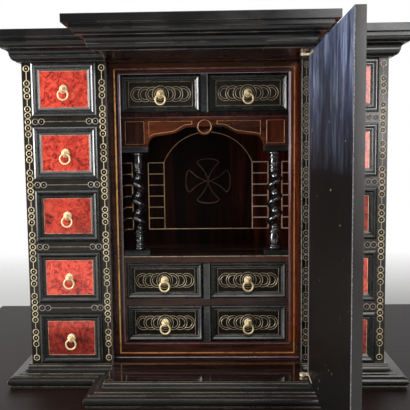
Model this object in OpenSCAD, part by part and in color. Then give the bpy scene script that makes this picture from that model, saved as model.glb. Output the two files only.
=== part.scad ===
// Table cabinet with a recessed portico, banks of small drawers and a swinging centre door.
// The front faces -Y, +Z is up, and the origin is the centre of the case's underside.

/* [Case] */
// Width across the two case sides
case_w = 580; // [540:1:660]
// Depth from the plane of the front to the back
case_d = 300; // [270:1:360]
// Height of the front between the ledge and the soffit
bay_h = 490; // [440:1:560]
// Thickness of the case sides
side_t = 15; // [10:0.5:20]
// Thickness of the top and bottom boards
board_t = 12; // [8:0.5:14]
// Thickness of the back panel
back_t = 8; // [5:0.5:12]
// Thickness of the facing on the front edges
facing_t = 6; // [3:0.5:10]

/* [Centre bay] */
// Clear width between the two uprights
centre_w = 308; // [296:1:330]
// Thickness of each upright, seen as a stile
upright_t = 17; // [14:0.5:24]
// How far the portico frame stands behind the front
portico_back = 20; // [12:1:30]
// Thickness of the portico frame, front to back
frame_t = 12; // [8:0.5:16]
// Width of the frame's side members
frame_side = 14; // [10:0.5:20]
// Height of the frame's top member
frame_top = 17; // [12:0.5:24]
// Height of the frame's bottom member
frame_bottom = 29; // [22:0.5:36]
// Thickness of the shelves between the inner drawers
shelf_t = 11.5; // [8:0.5:14]
// Thickness of the upright dividers between inner drawers
divider_t = 12; // [8:0.5:16]
// How far the boards stand behind the frame's face
board_set_back = 2; // [1:0.5:4]
// Clearance between the top drawers and the frame's top member
head_gap = 2; // [0.5:0.5:3]
// Thickness of the guides beside the top drawers, within the frame
top_guide = 3.5; // [2:0.5:5]
// Thickness of the guides beside the lower drawers, within the frame
low_guide = 6.5; // [4:0.5:8]

/* [Niche] */
// Height of the valance at its ends
valance_h = 54.5; // [50:0.5:62]
// Thickness of the valance
valance_t = 9; // [6:0.5:10]
// Depth of the niche's back wall behind the front
niche_back = 145; // [120:1:220]
// Thickness of the niche lining
lining_t = 4; // [3:0.5:6]

/* [Drawers] */
// Number of drawers in each outer bank
rows = 5; // [4:1:5]
// Height of the rails between the outer drawers
rail_h = 17; // [12:0.5:22]
// Thickness of the board that each outer drawer runs on
runner_t = 9; // [6:0.5:11]
// Clearance round a drawer front
gap = 0.5; // [0.3:0.1:1]
// Height of an inner drawer front
inner_h = 60; // [52:0.5:66]
// Space left behind the outer drawers
outer_space = 22; // [6:0.5:70]
// Space left behind the inner drawers
inner_space = 25.5; // [6:0.5:70]
// Thickness of a drawer front behind its moulding
front_t = 13; // [10:0.5:16]
// Thickness of drawer sides and back
wall_t = 5; // [4:0.5:8]
// Clearance between a drawer and the board under it
run_gap = 0.3; // [0.2:0.1:0.4]
// Thickness of drawer bottoms
bottom_t = 4; // [3:0.5:6]
// How far the drawer sides stop below the top of the front
side_drop = 9; // [6:0.5:14]
// Width of the moulding round an outer drawer front
outer_mould = 13; // [10:0.5:16]
// Width of the moulding round an inner drawer front
inner_mould = 10; // [8:0.5:12]
// How far the mouldings stand proud
mould_proud = 4.5; // [3:0.5:6]

/* [Pulls] */
// Width of a mask
mask_w = 13; // [11:0.5:16]
// Height of a mask
mask_h = 15; // [14:0.5:20]
// Radius of the ring's centre line
ring_r = 8; // [7:0.5:10]
// Radius of the ring's wire
wire_r = 1.4; // [1:0.1:1.6]
// Radius of the hole through the muzzle
eye_r = 2.0; // [2:0.1:2.2]
// How far the hole's axis stands off the drawer face
eye_out = 6.8; // [6.4:0.1:8]
// How far the hole lies below the middle of the mask
eye_drop = 1.2; // [1:0.1:3]

/* [Door] */
// Thickness of the door leaf
leaf_t = 12; // [10:0.5:12]
// Clearance above and below the leaf
leaf_gap = 1.5; // [1:0.1:3]
// Distance of the pivots from the middle of the cabinet
pivot_x = 149; // [147:0.5:150]
// Distance of the pivots in front of the drawers
pivot_q = 60; // [56:1:66]
// Crank of the pivot plates, from the pin to the leaf
pivot_crank = 8.5; // [8:0.5:9]
// Radius of the pivot pins
pin_r = 2.5; // [2:0.1:3.5]
// Radial clearance of the pins in their holes
pin_gap = 0.05; // [0.02:0.01:0.1]
// Depth of the pin holes
pin_depth = 9; // [6:0.5:12]

/* [Base and cornice] */
// Height of the base mouldings
base_h = 32; // [31:1:44]
// Height of the cornice mouldings
cornice_h = 45; // [42:1:56]
// Projection of the mouldings from the front beside the centre
flank_q = 5; // [3:0.5:12]
// Half width of the projecting ledge
ledge_half = 155; // [153:0.5:158]
// Projection of the ledge
ledge_q = 82; // [78:1:96]
// Half width of the projecting soffit
soffit_half = 153; // [152.5:0.5:156]
// Projection of the soffit
soffit_q = 101; // [90:1:116]

/* [Columns] */
// Distance of the columns from the sides of the centre bay
column_inset = 39.5; // [38:0.5:46]
// Distance of the columns behind the front
column_back = 34; // [33:0.5:40]
// Size of the square blocks above and below, across
block_w = 44; // [36:0.5:44]
// Size of the blocks front to back
block_d = 24; // [22:0.5:30]
// Height of each block
block_h = 9.5; // [7:0.5:12]
// Radius of the twisted shaft's body
shaft_r = 9.2; // [7:0.1:9.6]
// Throw of the twist
shaft_throw = 3.9; // [2.5:0.1:4]
// Length of one turn of the twist
shaft_pitch = 28.5; // [24:0.5:36]

/* [Hidden] */
$fn = 48;
eps = 0.01;
half_case = case_w / 2;
half_centre = centre_w / 2;
column_x = half_centre - column_inset;
z0 = base_h;
z1 = base_h + bay_h;
back_in = case_d / 2 - back_t;
bank_in = half_centre + upright_t;
bank_out = half_case - side_t;
outer_w = bank_out - bank_in - 2 * gap;
bank_x = (bank_in + bank_out) / 2;
row_h = (bay_h - (rows - 1) * rail_h) / rows;
outer_h = row_h - 2 * gap;
outer_d = case_d - back_t - outer_space;

// Levels of the centre bay, from the ledge up
frame_half = half_centre - frame_side;
sill_z = z0 + frame_bottom;
cell_h = inner_h + 2 * gap;
shelf1_z = sill_z + cell_h;
shelf2_z = shelf1_z + shelf_t + cell_h;
floor_z = shelf2_z + shelf_t;
head_z = z1 - frame_top;
ceiling_z = head_z - head_gap - cell_h;
front_back = portico_back + board_set_back;
top_half = frame_half - top_guide;
low_half = frame_half - low_guide;
top_inner_w = top_half - divider_t / 2 - 2 * gap;
low_inner_w = low_half - divider_t / 2 - 2 * gap;
top_inner_x = (top_half + divider_t / 2) / 2;
low_inner_x = (low_half + divider_t / 2) / 2;
inner_face = front_back + mould_proud;
inner_d = case_d - back_t - inner_face - inner_space;
ceiling_t = 6;
valance_z = ceiling_z - valance_h;
frame_rear = portico_back + frame_t;

// Mouldings as steps of [kind, out, up], where a cove, an ovolo or a torus has its radius
CORNICE = [
  ["fillet", 1, 1.5], ["ovolo", 7.5], ["fillet", 1, 2], ["cove", 8],
  ["fillet", 1, 1.5], ["ovolo", 6.5], ["fillet", 4, 6]
];
CORONA_OUT = 8;
PLINTH = [
  ["fillet", 0, 3], ["fillet", 1, 0.5], ["cove", 8], ["fillet", 3, 1.5], ["fillet", 8, 2], ["torus", 7]
];
PLINTH_OUT = 4;

// Names of the pieces that repeat
INNER = ["top_left", "top_right", "mid_left", "mid_right", "low_left", "low_right"];
BANKS = concat([for (i = [1:rows]) str("left_", i)], [for (i = [1:rows]) str("right_", i)]);
PLACES = concat(INNER, BANKS);

function front(q) = -case_d / 2 - q;
function row_z(i) = z1 - i * row_h - (i - 1) * rail_h;

// A box between two corners
module block(a, b) {
  translate(a) cube([b[0] - a[0], b[1] - a[1], b[2] - a[2]]);
}

// The same thing on the left and on the right
module both_sides() {
  children();
  mirror([1, 0, 0]) children();
}

// Height that the steps of a moulding add up to
function rise(steps, i = 0) =
  i == len(steps) ? 0
  : (steps[i][0] == "fillet" ? steps[i][2] : steps[i][0] == "torus" ? 2 * steps[i][1] : steps[i][1])
    + rise(steps, i + 1);

// The section of a moulding, from the bottom up and outwards
module moulding(steps, i = 0, u = 0, v = 0) {
  if (i < len(steps)) {
    kind = steps[i][0];
    r = steps[i][1];
    if (kind == "fillet") {
      translate([-1, v]) square([u + r + 1, steps[i][2]]);
      moulding(steps, i + 1, u + r, v + steps[i][2]);
    }
    if (kind == "ovolo") {
      translate([-1, v]) square([u + 1, r]);
      intersection() {
        translate([u, v + r]) circle(r);
        translate([u - eps, v]) square([r + eps, r]);
      }
      moulding(steps, i + 1, u + r, v + r);
    }
    if (kind == "cove") {
      difference() {
        translate([-1, v]) square([u + r + 1, r]);
        translate([u + r, v]) circle(r);
      }
      moulding(steps, i + 1, u + r, v + r);
    }
    if (kind == "torus") {
      translate([-1, v]) square([u + 1, 2 * r]);
      translate([u, v + r]) circle(r);
      moulding(steps, i + 1, u, v + 2 * r);
    }
  }
}

// A solid block with its moulding along the front and round both ends, mitred at the corners
module mitred_block(half_w, q, h) {
  reach = half_w + 100;
  intersection() {
    translate([reach, front(q), 0]) rotate([90, 0, -90]) linear_extrude(2 * reach) {
      children();
      translate([-q - case_d, 0]) square([q + case_d, h]);
    }
    translate([0, case_d / 2, 0]) rotate([90, 0, 0]) linear_extrude(case_d + q + 100) {
      translate([half_w, 0]) children();
      mirror([1, 0]) translate([half_w, 0]) children();
      translate([-half_w, 0]) square([2 * half_w, h]);
    }
  }
}

// Case

// Top, bottom and sides, the two uprights, and the boards that the outer drawers run on
module carcass() {
  color("#1a1614") {
    block([-half_case, front(0), z0 - board_t], [half_case, case_d / 2, z0]);
    block([-half_case, front(0), z1], [half_case, case_d / 2, z1 + board_t]);
    both_sides() {
      block([bank_out, front(-facing_t), z0], [half_case, case_d / 2, z1]);
      block([half_centre, front(-facing_t), z0], [bank_in, back_in, z1]);
      for (i = [1:rows - 1])
        block([bank_in, front(-facing_t), row_z(i) - runner_t], [bank_out, back_in, row_z(i)]);
    }
  }
}

module back_panel() {
  color("#4a2f20") block([-bank_out, back_in, z0], [bank_out, case_d / 2, z1]);
}

// A board of the centre bay, which narrows where it passes through the portico frame
module bay_board(z_low, z_high, q = -front_back) {
  block([-half_centre, front(-frame_rear), z_low], [half_centre, back_in, z_high]);
  if (-q < frame_rear)
    block([-frame_half, front(q), z_low], [frame_half, front(-frame_rear), z_high]);
}

// Packing pieces that guide a pair of inner drawers
module bay_guides(x_in, z_low, z_high) {
  both_sides() {
    block([x_in, front(-frame_rear), z_low], [half_centre, back_in, z_high]);
    block([x_in, front(-front_back), z_low], [frame_half, front(-frame_rear), z_high]);
  }
}

module bay_divider(z_low, z_high) {
  block([-divider_t / 2, front(-front_back), z_low], [divider_t / 2, back_in, z_high]);
}

module partitions() {
  color("#2a1a12") {
    bay_board(sill_z - ceiling_t, sill_z, -frame_rear);
    bay_board(shelf1_z, shelf1_z + shelf_t);
    bay_board(shelf2_z, floor_z);
    bay_board(ceiling_z - ceiling_t, ceiling_z, -front_back - valance_t);
    bay_guides(low_half, sill_z, shelf1_z);
    bay_guides(low_half, shelf1_z + shelf_t, shelf2_z);
    bay_guides(top_half, ceiling_z, head_z);
    bay_divider(sill_z, shelf1_z);
    bay_divider(shelf1_z + shelf_t, shelf2_z);
    bay_divider(ceiling_z, head_z);
  }
}

module face_frame() {
  color("#141211") both_sides() difference() {
    block([half_centre, front(0), z0], [half_case, front(-facing_t), z1]);
    for (i = [1:rows])
      block([bank_in, front(1), row_z(i)], [bank_out, front(-facing_t - 1), row_z(i) + row_h]);
  }
}

// Portico

bead_w = 2;
bead_out = 1;

module portico_frame() {
  color("#4a1c10") difference() {
    union() {
      block([-half_centre, front(-portico_back), z0], [half_centre, front(-frame_rear), z1]);
      block([-frame_half - bead_w, front(bead_out - portico_back), sill_z - bead_w],
            [frame_half + bead_w, front(-portico_back), head_z + bead_w]);
    }
    block([-frame_half, front(1 + bead_out - portico_back), sill_z],
          [frame_half, front(-frame_rear - 1), head_z]);
  }
}

// The niche opens out behind the frame: its side walls line the uprights
module niche_lining() {
  top = ceiling_z - ceiling_t;
  color("#1c120e") {
    both_sides()
      block([half_centre - lining_t, front(-frame_rear), floor_z], [half_centre, front(-niche_back), top]);
    block([-half_centre, front(-niche_back), floor_z], [half_centre, front(-niche_back - lining_t), top]);
  }
}

// The right half of the valance's outline, from its top corner to the middle, as [x, height]
arch_inset = 59;
arch_x = half_centre - arch_inset;
arch_r = 13.5;
arch_foot = 6;
ogee_rise = 12.5;
roundel_r = 13.8;
roundel_z = 31.6;
function ogee(t) = [(arch_x - arch_r) * (1 - t), arch_foot + arch_r + ogee_rise * (1 - cos(180 * t)) / 2];
arch_edge = concat(
  [[frame_half, valance_h], [frame_half, 0], [arch_x, 0]],
  [for (a = [0:15:90]) [arch_x - arch_r + arch_r * cos(a), arch_foot + arch_r * sin(a)]],
  [for (t = [0.1:0.1:1]) ogee(t)]);

module valance() {
  left_edge = [for (i = [len(arch_edge) - 2:-1:0]) [-arch_edge[i][0], arch_edge[i][1]]];
  color("#5a2416") translate([0, front(-front_back), valance_z]) rotate([90, 0, 0])
    translate([0, 0, -valance_t]) linear_extrude(valance_t) {
      polygon(concat(arch_edge, left_edge));
      translate([0, roundel_z]) circle(roundel_r);
    }
}

module both_halves() {
  children();
  mirror([1, 0]) children();
}

// Columns

column_foot = floor_z + block_h;
column_head = valance_z - block_h;
sides = 18;
rings_per_turn = 12;

// Turned lengths below and above the twist, as steps of [kind, radius, height], from the end inwards
FOOT = [
  ["bead", 11, 5.5], ["fillet", 9.2, 1.5], ["vase", 9.6, 19], ["fillet", 7.5, 1.2], ["bead", 9.8, 3.6],
  ["fillet", 8, 1.8]
];
HEAD = [
  ["bead", 11, 5.5], ["fillet", 8.4, 2.5], ["bead", 10, 3.6], ["fillet", 7.4, 1.4], ["vase", 8.6, 9],
  ["bead", 9.8, 3.4], ["fillet", 7.4, 2.6], ["bead", 9.8, 3.4], ["fillet", 8, 1.8]
];
function turned_h(steps, i = 0) = i == len(steps) ? 0 : steps[i][2] + turned_h(steps, i + 1);

// Distance of the twisted surface from the column's axis, where psi is the angle from the crest
function twist_reach(psi, e) = e * cos(psi) + sqrt(shaft_r * shaft_r - e * e * sin(psi) * sin(psi));

module twisted_shaft(h) {
  turns = h / shaft_pitch;
  n = ceil(turns * rings_per_turn);
  ends = 2;
  points = [for (i = [0:n]) let (e = shaft_throw * min(1, i / ends, (n - i) / ends))
            for (j = [0:sides - 1]) let (a = 360 * j / sides, r = twist_reach(a - 360 * turns * i / n, e))
            [r * cos(a), r * sin(a), h * i / n]];
  skin = [for (i = [0:n - 1]) for (j = [0:sides - 1]) let (k = (j + 1) % sides)
          each [[i * sides + j, (i + 1) * sides + j, (i + 1) * sides + k],
                [i * sides + j, (i + 1) * sides + k, i * sides + k]]];
  caps = [[for (j = [0:sides - 1]) j], [for (j = [sides - 1:-1:0]) n * sides + j]];
  polyhedron(points, concat(skin, caps));
}

// The section of a turned length: beads are half round, fillets straight, and a vase swells
module turning(steps, i = 0, v = 0) {
  if (i < len(steps)) {
    kind = steps[i][0];
    r = steps[i][1];
    h = steps[i][2];
    if (kind == "fillet") translate([0, v]) square([r, h]);
    if (kind == "bead") {
      translate([0, v]) square([r - h / 2, h]);
      translate([r - h / 2, v + h / 2]) circle(h / 2);
    }
    if (kind == "vase") intersection() {
      swell = 1.6 * h;
      translate([r - swell, v + h / 2]) circle(swell);
      translate([0, v]) square([r, h]);
    }
    turning(steps, i + 1, v + h);
  }
}

// A column standing on its vase
module column(h) {
  foot_h = turned_h(FOOT);
  head_h = turned_h(HEAD);
  rotate_extrude() turning(FOOT);
  translate([0, 0, foot_h]) twisted_shaft(h - foot_h - head_h);
  translate([0, 0, h]) mirror([0, 0, 1]) rotate_extrude() turning(HEAD);
}

module column_blocks() {
  for (z = [floor_z, column_head])
    block([column_x - block_w / 2, front(-column_back) - block_d / 2, z],
          [column_x + block_w / 2, front(-column_back) + block_d / 2, z + block_h]);
}

module columns() {
  h = column_head - column_foot;
  color("#121010") {
    both_sides() column_blocks();
    translate([column_x, front(-column_back), column_foot]) column(h);
    translate([-column_x, front(-column_back), column_head]) mirror([0, 0, 1]) column(h);
  }
}

// Cornice and base

corona_h = cornice_h - rise(CORNICE);
plinth_h = base_h - rise(PLINTH);
cornice_steps = concat(CORNICE, [["fillet", CORONA_OUT, corona_h]]);
base_steps = concat(PLINTH, [["fillet", PLINTH_OUT, plinth_h]]);
top_t = 8;
cornice_wall = 20;

// A hole for a pivot pin, opening towards the door
module pin_hole(z) {
  translate([pivot_x, front(pivot_q), z]) cylinder(r = pin_r + pin_gap, h = pin_depth);
}

module cornice() {
  color("#181513") difference() {
    translate([0, 0, z1]) {
      mitred_block(half_case + flank_q, flank_q, cornice_h) moulding(cornice_steps);
      mitred_block(soffit_half, soffit_q, cornice_h) moulding(cornice_steps);
    }
    block([-half_case, front(0), z1 - 1], [half_case, case_d, z1 + board_t]);
    block([-half_case + cornice_wall, front(-cornice_wall), z1],
          [half_case - cornice_wall, back_in, z1 + cornice_h - top_t]);
    pin_hole(z1 - eps);
  }
}

module base() {
  color("#181513") difference() {
    translate([0, 0, base_h]) mirror([0, 0, 1]) {
      mitred_block(half_case + flank_q, flank_q, base_h) moulding(base_steps);
      mitred_block(ledge_half, ledge_q, base_h) moulding(base_steps);
    }
    block([-half_case, front(0), -1], [half_case, case_d, z0 + 1]);
    pin_hole(z0 - pin_depth + eps);
  }
}

// Door

leaf_lap = 3;
leaf_w = pivot_x + leaf_lap + soffit_half - 2;
leaf_h = bay_h - 2 * leaf_gap;
stile_w = 42;
panel_sink = 4;
plate_t = 3;
plate_len = 34;
collar_h = leaf_gap - 0.3;

// Stands the door 90 degrees open, where x runs from the pins to the free edge and y outwards
module door_place() {
  translate([pivot_x, front(pivot_q), z0 + leaf_gap]) rotate([0, 0, -90]) children();
}

// The recess that takes a pivot plate, at the foot of the leaf
module plate_seat() {
  block([-leaf_lap - 1, pivot_crank - 1, -1], [plate_len, pivot_crank + leaf_t + 1, plate_t]);
}

module door() {
  panel_w = leaf_w - 2 * stile_w;
  panel_h = leaf_h - 2 * stile_w;
  mould_p = panel_sink - 0.5;
  color("#161413") door_place() {
    difference() {
      block([-leaf_lap, pivot_crank, 0], [leaf_w - leaf_lap, pivot_crank + leaf_t, leaf_h]);
      block([stile_w - leaf_lap, pivot_crank + leaf_t - panel_sink, stile_w],
            [stile_w - leaf_lap + panel_w, pivot_crank + leaf_t + 1, stile_w + panel_h]);
      plate_seat();
      translate([0, 0, leaf_h]) mirror([0, 0, 1]) plate_seat();
    }
    translate([stile_w - leaf_lap + panel_w / 2, pivot_crank + leaf_t - panel_sink, stile_w])
      mirror([0, 1, 0]) mould_frame(panel_w, panel_h, outer_mould, mould_p);
  }
}

// A brass plate let into the leaf's end, with the pin that turns in the cabinet
module pivot_plate() {
  linear_extrude(plate_t) {
    translate([-leaf_lap, pivot_crank]) square([plate_len + leaf_lap, leaf_t]);
    translate([-leaf_lap, 0]) square([2 * leaf_lap, pivot_crank + eps]);
    circle(pin_r + 2);
  }
  translate([0, 0, -collar_h]) cylinder(r = pin_r + 1.5, h = collar_h + eps);
  translate([0, 0, -leaf_gap - pin_depth + 1]) cylinder(r = pin_r, h = pin_depth + leaf_gap);
}

module door_pivots() {
  color("#c9a04a") door_place() {
    pivot_plate();
    translate([0, 0, leaf_h]) mirror([0, 0, 1]) pivot_plate();
  }
}

// Drawers

// One outline of a mitred moulding, symmetrical about the middle
module rise_outline(half, m, p) {
  r = 0.55 * p;
  shoulder = half - 0.2 * m - r;
  translate([-half, 0]) square([2 * half, p - r]);
  translate([-shoulder, 0]) square([2 * shoulder, p]);
  both_halves() translate([shoulder, p - r]) circle(r);
}

module fall_outline(half, m, p) {
  r = 0.45 * p;
  lip = half - 0.6 * m;
  difference() {
    translate([-lip, p - r]) square([2 * lip, r + 1]);
    both_halves() translate([lip, p - r]) circle(r);
  }
  translate([-half + 0.88 * m, 0.2 * p]) square([2 * half - 1.76 * m, p]);
  translate([-half + m, -1]) square([2 * half - 2 * m, p]);
}

// A mitred frame of moulding, standing proud towards -Y
module mould_frame(w, h, m, p) {
  difference() {
    intersection() {
      mirror([0, 1, 0]) linear_extrude(h) rise_outline(w / 2, m, p);
      translate([-w / 2, 0, h / 2]) rotate([0, -90, 180]) linear_extrude(w) rise_outline(h / 2, m, p);
    }
    intersection() {
      translate([0, 0, -1]) mirror([0, 1, 0]) linear_extrude(h + 2) fall_outline(w / 2, m, p);
      translate([-w / 2 - 1, 0, h / 2]) rotate([0, -90, 180]) linear_extrude(w + 2) fall_outline(h / 2, m, p);
    }
  }
}

// A drawer whose front starts at y = 0 and stands on z = 0
module drawer_box(w, h, d, m) {
  foot = run_gap - gap;
  block([-w / 2, 0, 0], [w / 2, front_t, h]);
  mould_frame(w, h, m, mould_proud);
  difference() {
    block([-w / 2, front_t, foot], [w / 2, d, h - side_drop]);
    block([-w / 2 + wall_t, front_t - 1, foot + bottom_t], [w / 2 - wall_t, d - wall_t, h]);
    block([-w, front_t - 1, foot + bottom_t], [w, front_t, h]);
  }
}

module drawer(k) {
  if (k < len(INNER))
    color("#1a1412") translate(corner(k)) drawer_box(front_w(k), front_h(k), inner_d, inner_mould);
  else
    color("#b02a1c") translate(corner(k)) drawer_box(front_w(k), front_h(k), outer_d, outer_mould);
}

// Sizes and places by number: the six inner drawers, then the two banks from the top down
function bank_row(k) = (k - len(INNER)) % rows + 1;
function side_of(k) = k < len(INNER) ? (k % 2 == 0 ? -1 : 1) : (k - len(INNER) < rows ? -1 : 1);
function front_w(k) = k < 2 ? top_inner_w : k < len(INNER) ? low_inner_w : outer_w;
function front_h(k) = k < len(INNER) ? inner_h : outer_h;
function inner_z(k) = k < 2 ? ceiling_z : k < 4 ? shelf1_z + shelf_t : sill_z;
function inner_x(k) = k < 2 ? top_inner_x : low_inner_x;
function corner(k) = k < len(INNER)
  ? [side_of(k) * inner_x(k), front(-inner_face), inner_z(k) + gap]
  : [side_of(k) * bank_x, front(0), row_z(bank_row(k)) + gap];

// Pulls

module mask() {
  plate_t = 1.6;
  lobe_r = 2;
  lobes = 10;
  rim = [for (i = [0:lobes - 1]) let (a = 360 * i / lobes)
         [(mask_w / 2 - lobe_r) * cos(a), (mask_h / 2 - lobe_r) * sin(a)]];
  dome_r = 5.2;
  muzzle_r = 3.9;
  muzzle_half = 2.7;
  difference() {
    union() {
      rotate([90, 0, 0]) linear_extrude(plate_t) {
        polygon(rim);
        for (c = rim) translate(c) circle(lobe_r);
      }
      intersection() {
        union() {
          translate([0, 1, 0.8]) sphere(dome_r);
          both_sides() translate([3.4, -1.8, mask_h / 3]) sphere(1.5);
        }
        block([-mask_w, -mask_h, -mask_h], [mask_w, 0, mask_h]);
      }
      intersection() {
        translate([0, 0.6 - eye_out, -eye_drop]) sphere(muzzle_r);
        block([-muzzle_half, -mask_h, -mask_h], [muzzle_half, 0, mask_h]);
      }
    }
    translate([-mask_w, -eye_out, -eye_drop]) rotate([0, 90, 0]) cylinder(r = eye_r, h = 2 * mask_w);
  }
}

module pull(k) {
  color("#d9b35c") translate(corner(k) + [0, 0, front_h(k) / 2]) mask();
}

module pull_ring(k) {
  color("#e0bc66") translate(corner(k) + [0, -eye_out, front_h(k) / 2 - eye_drop - ring_r])
    rotate([90, 0, 0]) rotate_extrude() translate([ring_r, 0]) circle(wire_r);
}

carcass();
back_panel();
partitions();
face_frame();
portico_frame();
niche_lining();
valance();
columns();
cornice();
base();
door();
door_pivots();
for (k = [0:len(PLACES) - 1]) {
  drawer(k);
  pull(k);
  pull_ring(k);
}
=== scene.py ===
# Table cabinet of ebonised pearwood, ebony, rosewood and red tortoiseshell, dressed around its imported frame.
import math

import bpy
from mathutils import Matrix, Vector


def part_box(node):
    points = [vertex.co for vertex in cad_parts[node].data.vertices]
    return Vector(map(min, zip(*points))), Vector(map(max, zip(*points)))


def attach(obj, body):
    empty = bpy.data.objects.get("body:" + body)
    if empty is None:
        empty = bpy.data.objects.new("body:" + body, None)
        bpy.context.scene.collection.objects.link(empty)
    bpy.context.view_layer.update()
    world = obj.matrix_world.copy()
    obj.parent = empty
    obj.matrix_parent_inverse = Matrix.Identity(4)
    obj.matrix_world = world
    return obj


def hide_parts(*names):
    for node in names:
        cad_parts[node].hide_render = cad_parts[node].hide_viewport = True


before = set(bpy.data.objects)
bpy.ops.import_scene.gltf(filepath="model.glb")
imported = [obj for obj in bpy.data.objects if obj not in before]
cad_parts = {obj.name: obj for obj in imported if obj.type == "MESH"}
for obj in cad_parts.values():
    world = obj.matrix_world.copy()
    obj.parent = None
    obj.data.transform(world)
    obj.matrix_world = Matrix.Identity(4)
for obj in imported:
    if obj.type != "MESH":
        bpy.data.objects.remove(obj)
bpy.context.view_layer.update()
scene = bpy.context.scene
scene.view_settings.view_transform = "Standard"


# Camera
# It stands a little over a metre from the middle of the case, right of centre and just above the niche,
# and looks slightly down and to the left. The photograph's focal length was found in its own pixels.
EYE = (0.0261, -1.1117, 0.3809)
TURN = math.radians(1.56)
TILT = math.radians(90 - 5.23)
ROLL = math.radians(-0.66)
FOCAL_PX = 600
PHOTO_PX = 410
SENSOR_MM = 36

bpy.ops.object.camera_add()
camera = bpy.context.object
camera.name = "camera"
camera.matrix_world = (Matrix.Translation(EYE) @ Matrix.Rotation(TURN, 4, "Z")
                       @ Matrix.Rotation(TILT, 4, "X") @ Matrix.Rotation(ROLL, 4, "Z"))
camera.data.sensor_width = SENSOR_MM
camera.data.lens = SENSOR_MM * FOCAL_PX / PHOTO_PX
camera.data.clip_start = 0.01
scene.camera = camera


# Studio
# A tall soft box stands far round to the left, so the recess hides it from the near column, and another
# reaches in past the open door from the right. A wide one hangs above. The cabinet stands on a dark table
# top, and white paper rises behind it.
LAMPS = (((-1.8, -0.87, 0.75), (0.6, 1.3), 42),
         ((0.64, -1.55, 0.75), (0.45, 1), 12),
         ((0, -1.35, 1.6), (1.9, 0.5), 9))
AIM = Vector((0, -0.15, 0.3))
ROOM_GREY = 0.1
TABLE_LOW, TABLE_HIGH = (-0.52, -0.46, -0.018), (0.52, 0.34, 0)
SWEEP_WIDTH, SWEEP_HEIGHT, SWEEP_BEND = 7, 3.4, 0.6
SWEEP_FRONT, SWEEP_BACK = -3, 2.2


def srgb(code):
    """Linear red, green, blue and alpha of an sRGB hex code such as 1a2b3c."""
    parts = [int(code[i:i + 2], 16) / 255 for i in (0, 2, 4)]
    return [p / 12.92 if p <= 0.04045 else ((p + 0.055) / 1.055) ** 2.4 for p in parts] + [1]


def fill(tree, node, inputs):
    """Fills a node's inputs with values, or with links from a socket or from a node's first output."""
    for key, value in inputs.items():
        if isinstance(value, bpy.types.Node):
            value = value.outputs[0]
        if isinstance(value, bpy.types.NodeSocket):
            tree.links.new(value, node.inputs[key])
        else:
            node.inputs[key].default_value = value


def add(tree, kind, inputs=None, stops=(), **settings):
    """Adds a shader node, sets its properties, and fills its inputs and the stops of its ramp."""
    made = tree.nodes.new("ShaderNode" + kind)
    for key, value in settings.items():
        setattr(made, key, value)
    fill(tree, made, inputs or {})
    stops = list(stops)
    if stops:
        ramp = made.color_ramp.elements
        while len(ramp) < len(stops):
            ramp.new(0.5)
        for element, (place, code) in zip(ramp, stops):
            element.position = place
            element.color = srgb(code)
    return made


def new_material(name):
    """A material, its tree, its Principled shader and the place on the piece that its patterns read."""
    material = bpy.data.materials.new(name)
    material.use_nodes = True
    tree = material.node_tree
    return material, tree, tree.nodes["Principled BSDF"], add(tree, "TexCoord").outputs["Object"]


def only(*pieces):
    """Selects these objects and nothing else, with the first one active."""
    bpy.ops.object.select_all(action="DESELECT")
    for piece in pieces:
        piece.select_set(True)
    bpy.context.view_layer.objects.active = pieces[0]


def pick(piece, test, edges=False):
    """Opens a piece in edit mode with only those faces selected whose centre and normal pass the test, or
    those edges whose two points do."""
    only(piece)
    bpy.context.tool_settings.mesh_select_mode = (False, edges, not edges)
    bpy.ops.object.mode_set(mode="EDIT")
    bpy.ops.mesh.select_all(action="DESELECT")
    bpy.ops.object.mode_set(mode="OBJECT")
    if edges:
        for edge in piece.data.edges:
            edge.select = test(*(piece.data.vertices[i] for i in edge.vertices))
    else:
        for face in piece.data.polygons:
            face.select = test(face.center, face.normal)
    bpy.ops.object.mode_set(mode="EDIT")


def close(piece):
    """Leaves edit mode, and hands the piece back."""
    bpy.ops.object.mode_set(mode="OBJECT")
    return piece


def box_between(name, low, high):
    """A block between two corners."""
    bpy.ops.object.select_all(action="DESELECT")
    bpy.ops.mesh.primitive_cube_add(size=1, location=[(a + b) / 2 for a, b in zip(low, high)])
    piece = bpy.context.object
    piece.name = name
    piece.scale = [b - a for a, b in zip(low, high)]
    bpy.ops.object.transform_apply(location=True, rotation=True, scale=True)
    return piece


def fibres(tree, place, along, across_per_m, along_per_m, **look):
    """Noise drawn out along one axis, as the fibres of wood run."""
    per_m = [across_per_m] * 3
    per_m[along] = along_per_m
    drawn = add(tree, "Mapping", {"Vector": place, "Scale": per_m})
    return add(tree, "TexNoise", {"Vector": drawn, "Scale": 1, **look})


def sweep_paper():
    """White background paper: matt, and plain white where the camera or a gloss sees it rising behind."""
    material, tree, shader, place = new_material("background_paper")
    fill(tree, shader, {"Base Color": srgb("efeeec"), "Roughness": 0.9})
    seen = add(tree, "LightPath").outputs
    direct = add(tree, "Math", {0: seen["Is Camera Ray"], 1: seen["Is Glossy Ray"]}, operation="MAXIMUM")
    direct = add(tree, "Math", {0: direct, 1: seen["Is Transmission Ray"]}, operation="MAXIMUM")
    depth = add(tree, "SeparateXYZ", {0: place}).outputs["Y"]
    behind = add(tree, "MapRange", {"Value": depth, "From Min": 0.2, "From Max": 1.2})
    share = add(tree, "Math", {0: direct, 1: behind}, operation="MULTIPLY")
    glow = add(tree, "Emission", {"Color": srgb("ffffff"), "Strength": 1})
    mixed = add(tree, "MixShader", {0: share, 1: shader, 2: glow})
    fill(tree, tree.nodes["Material Output"], {"Surface": mixed})
    return material


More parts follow.
